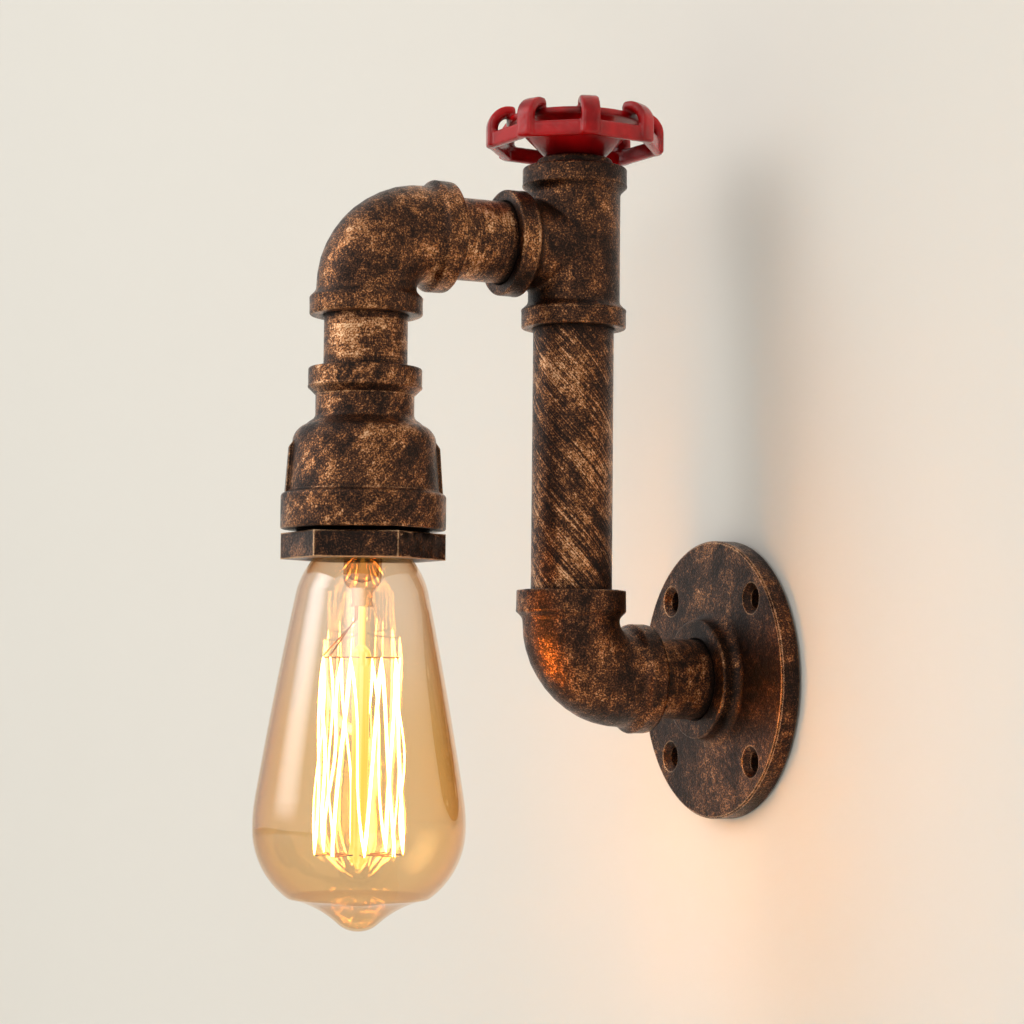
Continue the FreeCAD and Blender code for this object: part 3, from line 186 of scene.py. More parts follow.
def rubbed_metal(name, seed, brushing=None, patches=0.5, edges=0.8):
    """Antique bronze: near black patina, rubbed back to copper in speckles, patches and streaks, and
    darkened where neighbours are near, partly patina and partly painted shade.

    patches says how much of the piece is bared, and edges how much more its edges are.
    """
    material, tree, out = blank(name)
    place = add(tree, "TexCoord").outputs["Object"]
    here = add(tree, "Mapping",
               {"Vector": place, "Location": seed * NEXT_STRETCH}).outputs["Vector"]
    area = add(tree, "TexNoise", {"Vector": here, "Scale": every(RUBBED_AREA), "Detail": 5.0,
                                  "Roughness": 0.66}).outputs["Fac"]
    grain = add(tree, "TexNoise", {"Vector": here, "Scale": every(SKIN_GRAIN), "Detail": 2.0,
                                   "Roughness": 0.7}).outputs["Fac"]
    lumps = add(tree, "TexNoise", {"Vector": here, "Scale": every(SAND_LUMP), "Detail": 2.0,
                                   "Roughness": 0.55}).outputs["Fac"]
    # an edge is where the bevelled normal leaves the flat one, and counts where nothing shields it
    rounded = add(tree, "Bevel", {"Radius": WORN_CORNER * MM}, samples=6).outputs["Normal"]
    flat = add(tree, "NewGeometry").outputs["Normal"]
    sameness = add(tree, "VectorMath", {0: rounded, 1: flat}, operation="DOT_PRODUCT").outputs["Value"]
    corner = add(tree, "MapRange",
                 {"Value": sameness, "From Min": 0.995, "From Max": 0.86}).outputs["Result"]
    # how open a place is: it keeps the rag off shielded edges, and darkens hollows and the places under
    # the bands, partly as painted shade
    open_air = add(tree, "AmbientOcclusion", {"Distance": CREVICE * MM}, samples=6).outputs["AO"]
    open_unshaded = add(tree, "MapRange",
                  {"Value": open_air, "From Min": 0.45, "From Max": 0.85}).outputs["Result"]
    sharp = add(tree, "Math", {0: corner, 1: open_unshaded}, operation="MULTIPLY").outputs[0]

    # all that brings the copper up: each cause less its resting value, times its weight; shielded places
    # are taken back down to the patina, partly as painted shade
    causes = [(area, 2.4, 0.5), (grain, 2.6, 0.5), (lumps, 1.0, 0.5), (sharp, edges, 0.0),
              (open_unshaded, 0.7, 1.0)]
    if brushing:
        causes += [(marks, weight, 0.5) for marks, weight in stroke_marks(tree, place, here, brushing)]
    rub = -sum(weight * resting for cause, weight, resting in causes)
    for cause, weight, resting in causes:
        rub = add(tree, "Math", {0: cause, 1: weight, 2: rub}, operation="MULTIPLY_ADD").outputs[0]

    # with more rubbing the patina thins, then the copper is bared, then it is polished
    level = 0.3 - 0.5 * patches
    thinned, bared, polished = [
        add(tree, "MapRange", {"Value": rub, "From Min": level + start, "From Max": level + end},
            interpolation_type="SMOOTHSTEP").outputs["Result"]
        for start, end in ((-0.6, 0.05), (0.0, 0.32), (0.3, 0.8))]
    base = tone(PATINA)
    for amount, colour in ((thinned, THIN_PATINA), (bared, COPPER), (polished, BRIGHT_COPPER)):
        base = add(tree, "Mix", {0: amount, 6: base, 7: tone(colour)}, data_type="RGBA").outputs[2]
    metal = add(tree, "MapRange", {"Value": bared, "To Min": 0.8, "To Max": 1.0}).outputs["Result"]
    rough = add(tree, "MapRange", {"Value": thinned, "To Min": 0.42, "To Max": 0.28}).outputs["Result"]
    pits = add(tree, "Bump", {"Height": lumps, "Normal": rounded, "Distance": 0.24 * MM,
                              "Strength": 0.5}).outputs["Normal"]
    relief = add(tree, "Bump", {"Height": grain, "Normal": pits, "Distance": 0.2 * MM,
                                "Strength": 1.0}).outputs["Normal"]
    skin = add(tree, "BsdfPrincipled", {"Base Color": base, "Metallic": metal, "Roughness": rough,
                                        "Specular IOR Level": 0.75, "Normal": relief})
    tree.links.new(skin.outputs[0], out.inputs["Surface"])
    return material


# Malleable iron castings, blackened and rubbed: dark and dull in the hollows, partly patina and
# partly painted shade, copper on the bands and edges, with the sparkle of a sandy skin. The flange
# and the hexagon shine at their edges most.
wear(rubbed_metal("bronzed casting, flange", 1, patches=0.05, edges=1.3), "wall_flange")
wear(rubbed_metal("bronzed casting, lower elbow", 2, patches=0.2, edges=1.1), "lower_elbow")
wear(rubbed_metal("bronzed casting, tee", 3, patches=0.2, edges=0.9), "tee", "top_plug")
wear(rubbed_metal("bronzed casting, upper elbow", 4, patches=0.5, edges=1.1), "upper_elbow")
wear(rubbed_metal("bronzed casting, reducer", 5, brushing=UP_REDUCER, patches=0.4), "reducer_bell")
wear(rubbed_metal("bronzed casting, hexagon", 6, patches=0.1, edges=2.2), "hex_bushing")
# Steel pipe in the same finish. The brush leaves slanting streaks down the riser, and rings round
# the short pipes. The two beside the upper elbow are the brightest pieces.
wear(rubbed_metal("bronzed pipe, riser", 7, brushing=DOWN_RISER, patches=0.45), "riser_pipe")
wear(rubbed_metal("bronzed pipe, upright nipple", 8, brushing=AROUND_UPRIGHT, patches=0.65), "drop_nipple")
wear(rubbed_metal("bronzed pipe, arm nipple", 9, brushing=AROUND_LEVEL, patches=0.8), "arm_nipple")
wear(rubbed_metal("bronzed pipe, stub nipple", 10, brushing=AROUND_LEVEL, patches=0.35), "stub_nipple")


# ---------------------------------------------------------------------------
# Plain metals and plain solids: the inner parts
# ---------------------------------------------------------------------------

TARNISH = 6.3           # width of the clouds that handling leaves on bright metal


def plain_metal(name, colour, scratch, roughness, marks, bump=0.04):
    """Bright metal with working marks and a slightly uneven tarnish.

    marks is how wide and bump how deep the working marks are, in millimetres. They are drawn coarser
    than real ones, so that they show.
    """
    material, tree, out = blank(name)
    place = add(tree, "TexCoord").outputs["Object"]
    fine = add(tree, "TexNoise", {"Vector": place, "Scale": every(marks), "Detail": 3.0,
                                  "Roughness": 0.6}).outputs["Fac"]
    cloud = add(tree, "TexNoise", {"Vector": place, "Scale": every(TARNISH), "Detail": 3.0,
                                   "Roughness": 0.5}).outputs["Fac"]
    base = add(tree, "Mix", {0: cloud, 6: tone(colour), 7: tone(scratch)}, data_type="RGBA").outputs[2]
    rough = add(tree, "MapRange", {"Value": fine, "To Min": roughness * 0.7,
                                   "To Max": roughness * 1.4}).outputs["Result"]
    relief = add(tree, "Bump", {"Height": fine, "Distance": bump * MM, "Strength": 0.5}).outputs["Normal"]
    skin = add(tree, "BsdfPrincipled", {"Base Color": base, "Metallic": 1.0, "Roughness": rough,
                                        "Normal": relief})
    tree.links.new(skin.outputs[0], out.inputs["Surface"])
    return material


def plain_solid(name, light, deep, roughness, cloud_size, bump=0.03, coat=0.0):
    """Glaze, moulded plastic, cement or insulation: two near tones, a fine grain, a soft relief."""
    material, tree, out = blank(name)
    place = add(tree, "TexCoord").outputs["Object"]
    cloud = add(tree, "TexNoise", {"Vector": place, "Scale": every(cloud_size), "Detail": 4.0,
                                   "Roughness": 0.55}).outputs["Fac"]
    # the grain is a ninth of the clouds
    fine = add(tree, "TexNoise", {"Vector": place, "Scale": every(cloud_size / 9), "Detail": 2.0,
                                  "Roughness": 0.5}).outputs["Fac"]
    blend = add(tree, "MapRange", {"Value": cloud, "From Min": 0.35, "From Max": 0.65}).outputs["Result"]
    base = add(tree, "Mix", {0: blend, 6: tone(deep), 7: tone(light)}, data_type="RGBA").outputs[2]
    rough = add(tree, "MapRange", {"Value": fine, "To Min": roughness * 0.8,
                                   "To Max": roughness * 1.2}).outputs["Result"]
    relief = add(tree, "Bump", {"Height": fine, "Distance": bump * MM, "Strength": 0.6}).outputs["Normal"]
    skin = add(tree, "BsdfPrincipled", {"Base Color": base, "Roughness": rough, "Normal": relief,
                                        "Coat Weight": coat})
    tree.links.new(skin.outputs[0], out.inputs["Surface"])
    return material


# Drawn and turned brass: warm yellow, with turning marks that soften its shine.
wear(plain_metal("brass", "#c9a25a", "#a8823f", 0.3, 1.1),
     "holder_shell", "centre_contact", "holder_terminals", "dimmer_nut", "bulb_cap")
# Steel with a bright zinc plating: cool grey and a little cloudy.
wear(plain_metal("zinc plated steel", "#c4c6c8", "#9ea3a8", 0.28, 0.8),
     "earth_screw", "wheel_washer", "wheel_screw", "terminal_screws", "spindle")
# Tinned copper: a pale, warm grey that is duller than the steel.
wear(plain_metal("tinned copper", "#c9c5bd", "#a79d8f", 0.35, 1.1), "earth_washer", "lead_ferrules")
# A drop of solder that has set: grey and wrinkled.
wear(plain_metal("solder", "#a8a9ab", "#84868a", 0.4, 2.0, bump=0.1), "cap_contact")
# Molybdenum wire, browned by the heat.
wear(plain_metal("molybdenum wire", "#8a7763", "#5c4a3a", 0.35, 0.5), "upper_supports", "lower_supports")
# Copper clad wire, which is orange against the glass.
wear(plain_metal("copper clad wire", "#d6a264", "#b07c42", 0.45, 0.5), "lead_wires")
# Glazed porcelain: off white, with a wet shine from the glaze.
wear(plain_solid("porcelain", "#eeeae0", "#e0dbce", 0.18, 11.0, coat=0.6), "holder_insulator")
# Moulded phenolic: black with a brown cast, half matt.
wear(plain_solid("black phenolic", "#1d1a19", "#0f0d0d", 0.4, 3.3), "dimmer_body")
# Black glass, poured and smooth: the deepest black, with a hard shine.
wear(plain_solid("black glass", "#120e14", "#060507", 0.1, 3.3, coat=0.5), "cap_insulator")
# Baked cement: sandy, matt and rough.
wear(plain_solid("basing cement", "#cbbfa8", "#a99c85", 0.8, 2.5, bump=0.15), "basing_cement")
# Extruded insulation in the colours of live, switched and neutral leads: even, with a dull shine.
wear(plain_solid("brown insulation", "#5f3a20", "#4a2b16", 0.4, 3.3), "feed_lead")
wear(plain_solid("black insulation", "#1c1b1b", "#0e0d0d", 0.4, 3.3), "switched_lead")
wear(plain_solid("blue insulation", "#2a5f9e", "#1f4b82", 0.4, 3.3), "neutral_lead")


# ---------------------------------------------------------------------------
# Enamel, glass and what glows
# ---------------------------------------------------------------------------

# the red, from the painted shade of hemmed-in places, through the deep coat, to the thin coat where the
# wheel is open
SHADE_RED, THICK, THIN = "#300103", "#7e0509", "#bc0a10"
ENAMEL_CLOUD = 8.3      # width of the places where the coat runs thicker
ORANGE_PEEL = 1.4       # dimples of a sprayed coat
ENAMEL_CORNER = 0.9     # radius to which the coat rounds the edges
SHADE_REACH = 8.0            # how near a neighbour has to be for the painted shade


def red_enamel():
    """Thick glossy red lacquer, uneven in clouds, with painted shade: deeper red where neighbours are
    near, thin and paler where the wheel is open.
    """
    material, tree, out = blank("red enamel")
    place = add(tree, "TexCoord").outputs["Object"]
    cloud = add(tree, "TexNoise", {"Vector": place, "Scale": every(ENAMEL_CLOUD), "Detail": 3.0,
                                   "Roughness": 0.5}).outputs["Fac"]
    dimples = add(tree, "TexNoise", {"Vector": place, "Scale": every(ORANGE_PEEL), "Detail": 1.0,
                                     "Roughness": 0.4}).outputs["Fac"]
    rounded = add(tree, "Bevel", {"Radius": ENAMEL_CORNER * MM}, samples=6).outputs["Normal"]
    open_air = add(tree, "AmbientOcclusion", {"Distance": SHADE_REACH * MM}, samples=6).outputs["AO"]
    # painted shade: the hemmed-in places go dark, the open ones pale
    unshaded = add(tree, "MapRange",
                 {"Value": open_air, "From Min": 0.25, "From Max": 0.9}).outputs["Result"]
    coat_and_shade = add(tree, "Math", {0: cloud, 1: unshaded}, operation="MULTIPLY").outputs[0]
    base = add(tree, "ValToRGB", {"Fac": coat_and_shade},
               stops=[(0.0, SHADE_RED), (0.28, THICK), (0.62, THIN)]).outputs["Color"]
    relief = add(tree, "Bump", {"Height": dimples, "Normal": rounded, "Distance": 0.12 * MM,
                                "Strength": 0.5}).outputs["Normal"]
    skin = add(tree, "BsdfPrincipled", {"Base Color": base, "Roughness": 0.2,
                                        "Specular IOR Level": 0.42, "Normal": relief})
    tree.links.new(skin.outputs[0], out.inputs["Surface"])
    return material


def tinted_glass(name, tint, edge, ripples, lustre, glance, fading=None):
    """Thin blown glass: what is behind it shows through, tinted, and its skin mirrors the room.

    edge is the tint where the wall is seen aslant, ripples the width of the waves in it, and lustre
    and glance how much it mirrors straight on and aslant. fading is a paler tint, with the height
    that still has it and the height from which the full tint is reached. The paler tint is partly the
    glass's own and partly a painted sheen.
    """
    material, tree, out = blank(name)
    place = add(tree, "TexCoord").outputs["Object"]
    tilt = add(tree, "LayerWeight", {"Blend": 0.5}).outputs["Facing"]
    body = tone(tint)
    # paler towards the neck: partly the glass's own tint, partly a painted sheen
    if fading:
        paler, still_pale, full_from = fading
        height = add(tree, "SeparateXYZ", {"Vector": place}).outputs["Z"]
        depth = add(tree, "MapRange", {"Value": height, "From Min": still_pale * MM,
                                       "From Max": full_from * MM},
                    interpolation_type="SMOOTHSTEP").outputs["Result"]
        body = add(tree, "Mix", {0: depth, 6: tone(paler), 7: body}, data_type="RGBA").outputs[2]
    aslant = add(tree, "Math", {0: tilt, 1: 3.0}, operation="POWER").outputs[0]
    through = add(tree, "Mix", {0: aslant, 6: body, 7: tone(edge)}, data_type="RGBA").outputs[2]
    wave = add(tree, "TexNoise", {"Vector": place, "Scale": every(ripples), "Detail": 1.0,
                                  "Roughness": 0.4}).outputs["Fac"]
    relief = add(tree, "Bump", {"Height": wave, "Distance": 0.1 * MM, "Strength": 0.4}).outputs["Normal"]
    # the faces that are met from the air mirror most, those met from inside the wall hardly
    inside = add(tree, "NewGeometry").outputs["Backfacing"]
    straight = add(tree, "MapRange",
                   {"Value": inside, "To Min": lustre, "To Max": 0.02}).outputs["Result"]
    grazing = add(tree, "Math", {0: tilt, 1: 5.0}, operation="POWER").outputs[0]
    # a Mix node of numbers has them on sockets 2 and 3
    mirror = add(tree, "Mix", {0: grazing, 2: straight, 3: glance}, data_type="FLOAT").outputs[0]
    sight = add(tree, "BsdfTransparent", {"Color": through}).outputs[0]
    gloss = add(tree, "BsdfGlossy",
                {"Color": tone("#ffffff"), "Roughness": 0.04, "Normal": relief}).outputs[0]
    skin = add(tree, "MixShader", {0: mirror, 1: sight, 2: gloss})
    tree.links.new(skin.outputs[0], out.inputs["Surface"])
    return material


def glowing(name, hot, cool, strength, mottle, glow_rim=None):
    """A glowing wire, or a rod given a painted glow, cooler in places that are mottle wide, with a soft
    painted glow at a wire's rim.
    """
    material, tree, out = blank(name)
    place = add(tree, "TexCoord").outputs["Object"]
    drawn = add(tree, "Mapping", {"Vector": place, "Scale": every(mottle)}).outputs["Vector"]
    cloud = add(tree, "TexNoise", {"Vector": drawn, "Scale": 1.0, "Detail": 2.0}).outputs["Fac"]
    blend = add(tree, "MapRange", {"Value": cloud, "From Min": 0.35, "From Max": 0.65}).outputs["Result"]
    shade = add(tree, "Mix", {0: blend, 6: tone(hot), 7: tone(cool)}, data_type="RGBA").outputs[2]
    skin = add(tree, "Emission", {"Color": shade, "Strength": strength}).outputs[0]
    if glow_rim:
        # painted glow: towards its sides the wire turns to the rim's colour, and then to nothing
        tilt = add(tree, "LayerWeight", {"Blend": 0.5}).outputs["Facing"]
        halo = add(tree, "Emission", {"Color": tone(glow_rim), "Strength": 1.2}).outputs[0]
        nothing = add(tree, "BsdfTransparent").outputs[0]
        for start, end, outer in ((0.45, 0.75, halo), (0.7, 1.0, nothing)):
            share = add(tree, "MapRange",
                        {"Value": tilt, "From Min": start, "From Max": end}).outputs["Result"]
            skin = add(tree, "MixShader", {0: share, 1: skin, 2: outer}).outputs[0]
    tree.links.new(skin, out.inputs["Surface"])
    return material


# Baked enamel on the pressed wheel: a strong red with hard highlights and rounded edges, and painted shade
# where it is hemmed in.
wear(red_enamel(), "handwheel")
# The bulb's glass, stained amber: honey where it is seen aslant, and paler towards the neck, partly a
# painted sheen.
wear(tinted_glass("amber glass", "#fbedd2", edge="#e3bb84", ripples=16.7, lustre=0.16, glance=0.9,
                  fading=("#fbf3ea", 25, -30)), "bulb_glass")
# The stem is drawn from clear lead glass. It is lit from below, and its brown rims are painted shade.
wear(tinted_glass("clear glass", "#fff0dc", edge="#a8692f", ripples=3.3, lustre=0.03, glance=0.3),
     "glass_stem")
# The glass rod inside the cage has a painted glow for the light of the strands: yellow, with streaks along
# it.
wear(glowing("lit glass rod", "#ffef9a", "#ffcf52", 1.7, mottle=(1.1, 1.1, 67.0)), "centre_rod")
# Carbonised thread at full heat: white, with a painted orange glow at its rim.
wear(glowing("lit filament", "#ffbe66", "#ffae50", 50.0, mottle=(3.8, 3.8, 3.8), glow_rim="#ff9a3c"),
     "filament")


# ---------------------------------------------------------------------------
# Pieces
# ---------------------------------------------------------------------------

# the handwheel's arches, in millimetres
ARCH_COUNT = 8
ARCH_TOP = 188.3        # height of their tops
ARCH_REACH = 29.6       # how far out they stand from the axis
ARCH_BEND = 7.4         # outer rounding
ARCH_THICK = 3.5
ARCH_WIDE = 6.125
ARCH_ROOT = 20.6        # an added arch starts this far out, inside the solid's own
ARCH_FOOT = 178.5       # and ends at this height
FIRST_ARCH = -16.5      # where the first one stands, in degrees from X
MOULD_DEEP = 26.0       # the trim reaches this far down, below the whole wheel

# the bushing's first corner is 2.2 degrees from X, and the first of Blender's cylinder is on Y
HEX_TURN = 2.2 - 90.0

SKIN_LUMP = 9.0         # width of the swellings in a casting's skin


def alone(piece):
    """Makes a piece the only one selected."""
    bpy.ops.object.select_all(action="DESELECT")
    piece.select_set(True)
    bpy.context.view_layer.objects.active = piece


def finish_with(piece, kind, **settings):
    """Puts a modifier on a piece and applies it."""
    alone(piece)
    bpy.ops.object.modifier_add(type=kind)
    modifier = piece.modifiers[-1]
    for name, value in settings.items():
        setattr(modifier, name, value)
    bpy.ops.object.modifier_apply(modifier=modifier.name)


def settle():
    """Puts the selected pieces' place, turn and scale into their meshes."""
    bpy.ops.object.transform_apply(location=True, rotation=True, scale=True)


def rounded_arches(wheel):
    """Trims the wheel's arches to a full round outside, and fills them out inside to match."""
    bpy.ops.mesh.primitive_cylinder_add(
        vertices=160, radius=ARCH_REACH * MM, depth=MOULD_DEEP * MM,
        location=RISER_AXIS + Vector((0, 0, ARCH_TOP - MOULD_DEEP / 2)) * MM)
    mould = bpy.context.object
    finish_with(mould, "BEVEL", width=ARCH_BEND * MM, segments=10)
    finish_with(wheel, "BOOLEAN", operation="INTERSECT", object=mould, solver="EXACT")
    bpy.data.objects.remove(mould)
    for corner in range(ARCH_COUNT):
        bpy.ops.object.select_all(action="DESELECT")
        bpy.ops.mesh.primitive_torus_add(
            major_segments=48, minor_segments=16, rotation=(math.pi / 2, 0, 0),
            location=Vector((ARCH_REACH - ARCH_BEND, 0, ARCH_TOP - ARCH_BEND)) * MM,
            major_radius=(ARCH_BEND - ARCH_THICK / 2) * MM, minor_radius=ARCH_THICK / 2 * MM)
        arch = bpy.context.object
        arch.scale = (1.0, 1.0, ARCH_WIDE / ARCH_THICK)
        settle()
        # the outer upper part of the ring stays, and its cut ends are closed
        bpy.ops.object.mode_set(mode="EDIT")
        for spot, way in (((ARCH_ROOT * MM, 0, 0), (1, 0, 0)), ((0, 0, ARCH_FOOT * MM), (0, 0, 1))):
            bpy.ops.mesh.select_all(action="SELECT")
            bpy.ops.mesh.bisect(plane_co=spot, plane_no=way, use_fill=True, clear_inner=True)
        bpy.ops.object.mode_set(mode="OBJECT")
        arch.rotation_euler = (0, 0, math.radians(360 / ARCH_COUNT * corner + FIRST_ARCH))
        arch.location = RISER_AXIS
        settle()
        wheel.select_set(True)
        bpy.context.view_layer.objects.active = wheel
        bpy.ops.object.join()


def tube(axis, outer, inner, low, high, sides=96, turn=0.0):
    """An upright tube round an axis, in millimetres. With six sides it is a hexagon outside."""
    centre = axis + Vector((0, 0, (low + high) / 2)) * MM
    # the bore's core is 1 mm longer at each end
    bpy.ops.mesh.primitive_cylinder_add(vertices=96, radius=inner * MM, depth=(high - low + 2) * MM,
                                        location=centre)
    core = bpy.context.object
    bpy.ops.mesh.primitive_cylinder_add(vertices=sides, radius=outer * MM, depth=(high - low) * MM,
                                        location=centre, rotation=(0, 0, math.radians(turn)))
    ring = bpy.context.object
    finish_with(ring, "BOOLEAN", operation="DIFFERENCE", object=core, solver="EXACT")
    bpy.data.objects.remove(core)
    alone(ring)
    settle()
    return ring


def taller_band(elbow):
    """Makes the lower elbow's upper band stand higher, over the pipe's first thread."""
    collar = tube(RISER_AXIS, outer=18.05, inner=13.6, low=22.0, high=28.8)
    alone(elbow)
    collar.select_set(True)
    bpy.ops.object.join()


def squared_corners(hexagon):
    """Fills the hexagon's corners out to where its faces meet."""
    filling = tube(LAMP_AXIS, outer=26.2, inner=21.0, low=36.7, high=45.0, sides=6, turn=HEX_TURN)
    finish_with(hexagon, "BOOLEAN", operation="UNION", object=filling, solver="EXACT")
    bpy.data.objects.remove(filling)


def softened(node, name, body, voxel=0.0, rounds=0, swell=0.0, lumps=0.0, shaping=None):
    """A copy of a node that takes its place, shaped and then softened.

    With a voxel, which is the size in millimetres of the new skin's mesh, the corners are smoothed
    for some rounds, as in a casting or under a thick coat. swell grows the piece, and lumps is how
    deep the unevenness of its skin is, both in millimetres.
    """
    alone(parts[node])
    bpy.ops.object.duplicate()
    piece = bpy.context.object
    piece.name = name
    piece.parent = None
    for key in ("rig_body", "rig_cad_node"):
        if key in piece:
            del piece[key]
    # the node's mesh is loose triangles, so the copy is merged before anything else
    bpy.ops.object.mode_set(mode="EDIT")
    bpy.ops.mesh.select_all(action="SELECT")
    bpy.ops.mesh.remove_doubles(threshold=0.001 * MM)
    bpy.ops.object.mode_set(mode="OBJECT")
    if shaping:
        shaping(piece)
    if voxel:
        finish_with(piece, "REMESH", mode="VOXEL", voxel_size=voxel * MM, adaptivity=0.0)
        finish_with(piece, "SMOOTH", factor=0.5, iterations=rounds)
    if swell:
        finish_with(piece, "DISPLACE", direction="NORMAL", mid_level=0.0, strength=swell * MM)
    if lumps:
        cloud = bpy.data.textures.new(name + " skin", "CLOUDS")
        cloud.noise_scale = SKIN_LUMP * MM
        finish_with(piece, "DISPLACE", texture=cloud, texture_coords="LOCAL", direction="NORMAL",
                    mid_level=0.5, strength=lumps * MM)
    alone(piece)
    if voxel:
        bpy.ops.object.shade_smooth()
    else:
        bpy.ops.object.shade_smooth_by_angle(angle=math.radians(35))
    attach(piece, body)
    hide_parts(node)


softened("handwheel", "enamelled_handwheel", "wheel", voxel=0.4, rounds=9, swell=0.15,
         shaping=rounded_arches)
softened("lower_elbow", "cast_lower_elbow", "fixture", voxel=0.44, rounds=2, lumps=0.35,
         shaping=taller_band)
softened("hex_bushing", "squared_hexagon", "fixture", shaping=squared_corners)
softened("upper_elbow", "cast_upper_elbow", "fixture", voxel=0.44, rounds=2, lumps=0.35)

# the filament's cage, in millimetres and degrees of plan angle about the lamp's axis
STRAND = 0.6            # radius of a strand
STRAND_STEPS = 14       # points along a strand
SWAY = 0.8              # how far a strand bows to the side
HOOKS = 8               # in each of the two rings
HOOK_STEP = 360 / HOOKS
FIRST_HIGH, HIGH_RADIUS, HIGH_HEIGHT = -37.5, 12.6, 5.9
FIRST_LOW, LOW_RADIUS, LOW_HEIGHT = -15.0, 14.0, -55.9
LEAD_HOOK, LEAD_SPREAD = 7, 10      # the wire's ends are at this high hook, so far to either side


def lamp_point(angle, radius, height):
    """A place round the lamp's axis: plan angle in degrees, radius and height in millimetres."""
    turn = math.radians(angle)
    return LAMP_AXIS + Vector((math.cos(turn) * radius, math.sin(turn) * radius, height)) * MM


def bowed_strand(curve, turn, side):
    """One strand, from the high hook on one side of low hook number turn down to that hook."""
    angle = FIRST_HIGH + HOOK_STEP * (turn + side)
    if (turn + side) % HOOKS == LEAD_HOOK:
        angle += -LEAD_SPREAD if side else LEAD_SPREAD
    start = lamp_point(angle, HIGH_RADIUS, HIGH_HEIGHT)
    end = lamp_point(FIRST_LOW + HOOK_STEP * turn, LOW_RADIUS, LOW_HEIGHT)
    # sines of the strand's number make each strand bow its own way and glow at its own weight
    sway = Vector((math.sin(turn * 2.1 + side), math.cos(turn * 1.7 + side * 2), 0)) * SWAY * MM
    waves = 1 + 0.25 * (turn % 3)
    weight = 0.75 + 0.3 * math.sin(turn * 2.6 + side * 1.9)
    spline = curve.splines.new("NURBS")
    spline.points.add(STRAND_STEPS - 1)
    for index, point in enumerate(spline.points):
        along = index / (STRAND_STEPS - 1)
        spot = start.lerp(end, along) + sway * math.sin(along * waves * 2 * math.pi)
        point.co = (*spot, 1.0)
        # a strand is thick near its ends, where the glow runs together, and thin at the hook
        point.radius = weight + 0.6 * abs(2 * along - 1) ** 6
    spline.points[0].radius = 0.35
    spline.points[-1].radius = 0.35
    spline.order_u = 3
    spline.use_endpoint_u = True


bpy.ops.object.select_all(action="DESELECT")
bpy.ops.curve.primitive_nurbs_path_add()
thread = bpy.context.object
thread.name = "glowing_filament"
thread.data.splines.clear()
thread.data.bevel_depth = STRAND * MM
thread.data.bevel_resolution = 2
thread.data.use_fill_caps = True
for turn in range(HOOKS):
    for side in (0, 1):
        bowed_strand(thread.data, turn, side)
alone(thread)
bpy.ops.object.convert(target="MESH")
bpy.ops.object.shade_smooth()
thread.data.materials.clear()
thread.data.materials.append(bpy.data.materials["lit filament"])
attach(thread, "bulb")
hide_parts("filament")


# ---------------------------------------------------------------------------
# Studio: wall, floor, soft light, camera
# ---------------------------------------------------------------------------

PAINT_CLOUD = 333.0     # width of the shades in the painted wall
ROOM = 4.0              # metres to each side
WALL_GAP = 1.0 * MM     # the wall stands this far behind the flange's back
FLOOR = -320 * MM
CLEARANCE = 2.5 * MM    # a ray this short is one between the wall and the flange's back


def backdrop(name, pale, deep, corners):
    """A pale flat sheet, seen from its front only, and from behind it isn't there.

    Its corners go edge by edge, left before right.
    """
    material, tree, out = blank(name + " paint")
    place = add(tree, "TexCoord").outputs["Object"]
    cloud = add(tree, "TexNoise", {"Vector": place, "Scale": every(PAINT_CLOUD), "Detail": 3.0})
    base = add(tree, "Mix", {0: cloud.outputs["Fac"], 6: tone(pale), 7: tone(deep)}, data_type="RGBA")
    paint = add(tree, "BsdfPrincipled", {"Base Color": base.outputs[2], "Roughness": 0.9,
                                         "Specular IOR Level": 0.0}).outputs[0]
    nothing = add(tree, "BsdfTransparent").outputs[0]
    behind = add(tree, "NewGeometry").outputs["Backfacing"]
    length = add(tree, "LightPath").outputs["Ray Length"]
    touching = add(tree, "Math", {0: length, 1: CLEARANCE}, operation="LESS_THAN").outputs[0]
    gone = add(tree, "Math", {0: behind, 1: touching}, operation="MAXIMUM").outputs[0]
    skin = add(tree, "MixShader", {0: gone, 1: paint, 2: nothing})
    tree.links.new(skin.outputs[0], out.inputs["Surface"])
    bpy.ops.mesh.primitive_plane_add(size=1.0)
    sheet = bpy.context.object
    sheet.name = name
    for vertex, corner in zip(sheet.data.vertices, corners):
        vertex.co = corner
    sheet.data.update()
    sheet.data.materials.append(material)


def place_lamp(name, light, place, aim=None):
    """Puts a light into the scene, turned towards a spot where it has a direction."""
    lamp = bpy.data.objects.new(name, light)
    scene.collection.objects.link(lamp)
    lamp.location = place
    if aim is not None:
        lamp.rotation_euler = (Vector(aim) - Vector(place)).to_track_quat("-Z", "Y").to_euler()
    return lamp


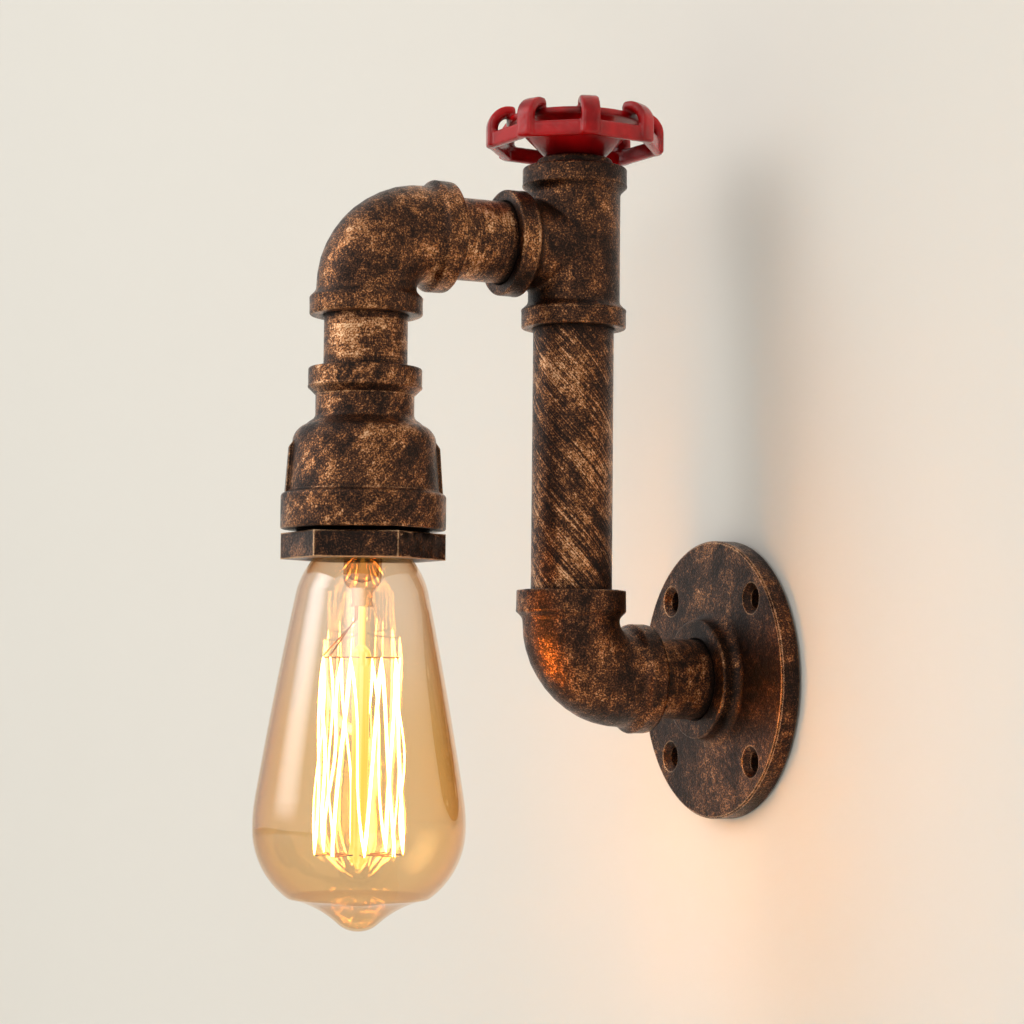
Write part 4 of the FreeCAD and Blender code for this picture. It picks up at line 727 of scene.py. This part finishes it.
def soft_box(name, place, aim, wide, high, power, colour):
    """A soft rectangular lamp that points at a spot and fades towards its edges."""
    light = bpy.data.lights.new(name, "AREA")
    light.shape = "RECTANGLE"
    light.size = wide
    light.size_y = high
    light.energy = power
    light.color = tone(colour)[:3]
    light.use_nodes = True
    tree = light.node_tree
    tree.nodes.clear()
    spot = add(tree, "SeparateXYZ", {"Vector": add(tree, "NewGeometry").outputs["Parametric"]})
    # a half sine over each side: the two average 0.405, so the strength is set back by the inverse
    fade = 2.47
    for side in ("X", "Y"):
        along = add(tree, "Math", {0: spot.outputs[side], 1: math.pi}, operation="MULTIPLY").outputs[0]
        arch = add(tree, "Math", {0: along}, operation="SINE").outputs[0]
        fade = add(tree, "Math", {0: arch, 1: fade}, operation="MULTIPLY").outputs[0]
    glow = add(tree, "Emission", {"Color": (1.0, 1.0, 1.0, 1.0), "Strength": fade}).outputs[0]
    tree.links.new(glow, add(tree, "OutputLight").inputs["Surface"])
    place_lamp(name, light, place, aim)


backdrop("studio wall", "#edeae4", "#ebe8e1",
         ((-ROOM, WALL_GAP, FLOOR), (ROOM, WALL_GAP, FLOOR),
          (-ROOM, WALL_GAP, ROOM), (ROOM, WALL_GAP, ROOM)))
backdrop("studio floor", "#ebe8e1", "#e9e6de",
         ((-ROOM, -ROOM, FLOOR), (ROOM, -ROOM, FLOOR),
          (-ROOM, WALL_GAP, FLOOR), (ROOM, WALL_GAP, FLOOR)))

# the soft boxes, in metres and watts, aimed at the middle of the light
middle = Vector((0, -60, 60)) * MM
soft_box("key soft box", (-0.85, -2.30, 1.15), middle, wide=2.0, high=2.7, power=19.0, colour="#fffefc")
soft_box("front soft box", (1.1, -0.9, 0.7), middle, wide=0.9, high=0.6, power=1.8, colour="#fff8f0")

# the lit bulb's light on the wall and the fittings, beside what its strands give
bulb_light = bpy.data.lights.new("lit bulb", "POINT")
bulb_light.energy = 0.015
bulb_light.color = tone("#ffcc90")[:3]
bulb_light.shadow_soft_size = 20 * MM
place_lamp("lit bulb", bulb_light, LAMP_AXIS + Vector((0, 0, -25 * MM))).visible_glossy = False

# the room is brightest towards the key, so that round metal has a light side and a dark one
TO_KEY = (-0.35, -0.90, 0.26)
world = bpy.data.worlds.new("studio air")
scene.world = world
world.use_nodes = True
air = world.node_tree
air.nodes.clear()
sky = add(air, "TexCoord").outputs["Generated"]
facing = add(air, "VectorMath", {0: sky, 1: TO_KEY}, operation="DOT_PRODUCT").outputs["Value"]
bright = add(air, "MapRange", {"Value": facing, "From Min": -0.1, "From Max": 0.95, "To Min": 0.38,
                               "To Max": 0.86}, interpolation_type="SMOOTHSTEP").outputs["Result"]
daylight = add(air, "Background", {"Color": tone("#f8f7f4"), "Strength": bright}).outputs[0]
air.links.new(daylight, add(air, "OutputWorld").inputs["Surface"])

# the camera, as it was fitted to the outlines of the pipes, the flange and the bulb
EYE = Vector((748.304, -437.368, 1.315)) * MM
AHEAD = Vector((-0.900925, 0.429351, 0.063178)).normalized()
ROUGHLY_RIGHT = Vector((0.430759, 0.902412, 0.009974))
lens = bpy.data.cameras.new("camera")
lens.sensor_width = 36.0
lens.lens = 89.73
lens.clip_start = 0.01
lens.clip_end = 50.0
camera = bpy.data.objects.new("camera", lens)
scene.collection.objects.link(camera)
up = ROUGHLY_RIGHT.cross(AHEAD).normalized()
right = AHEAD.cross(up).normalized()
camera.matrix_world = Matrix(((right.x, up.x, -AHEAD.x, EYE.x), (right.y, up.y, -AHEAD.y, EYE.y),
                              (right.z, up.z, -AHEAD.z, EYE.z), (0, 0, 0, 1)))
scene.camera = camera
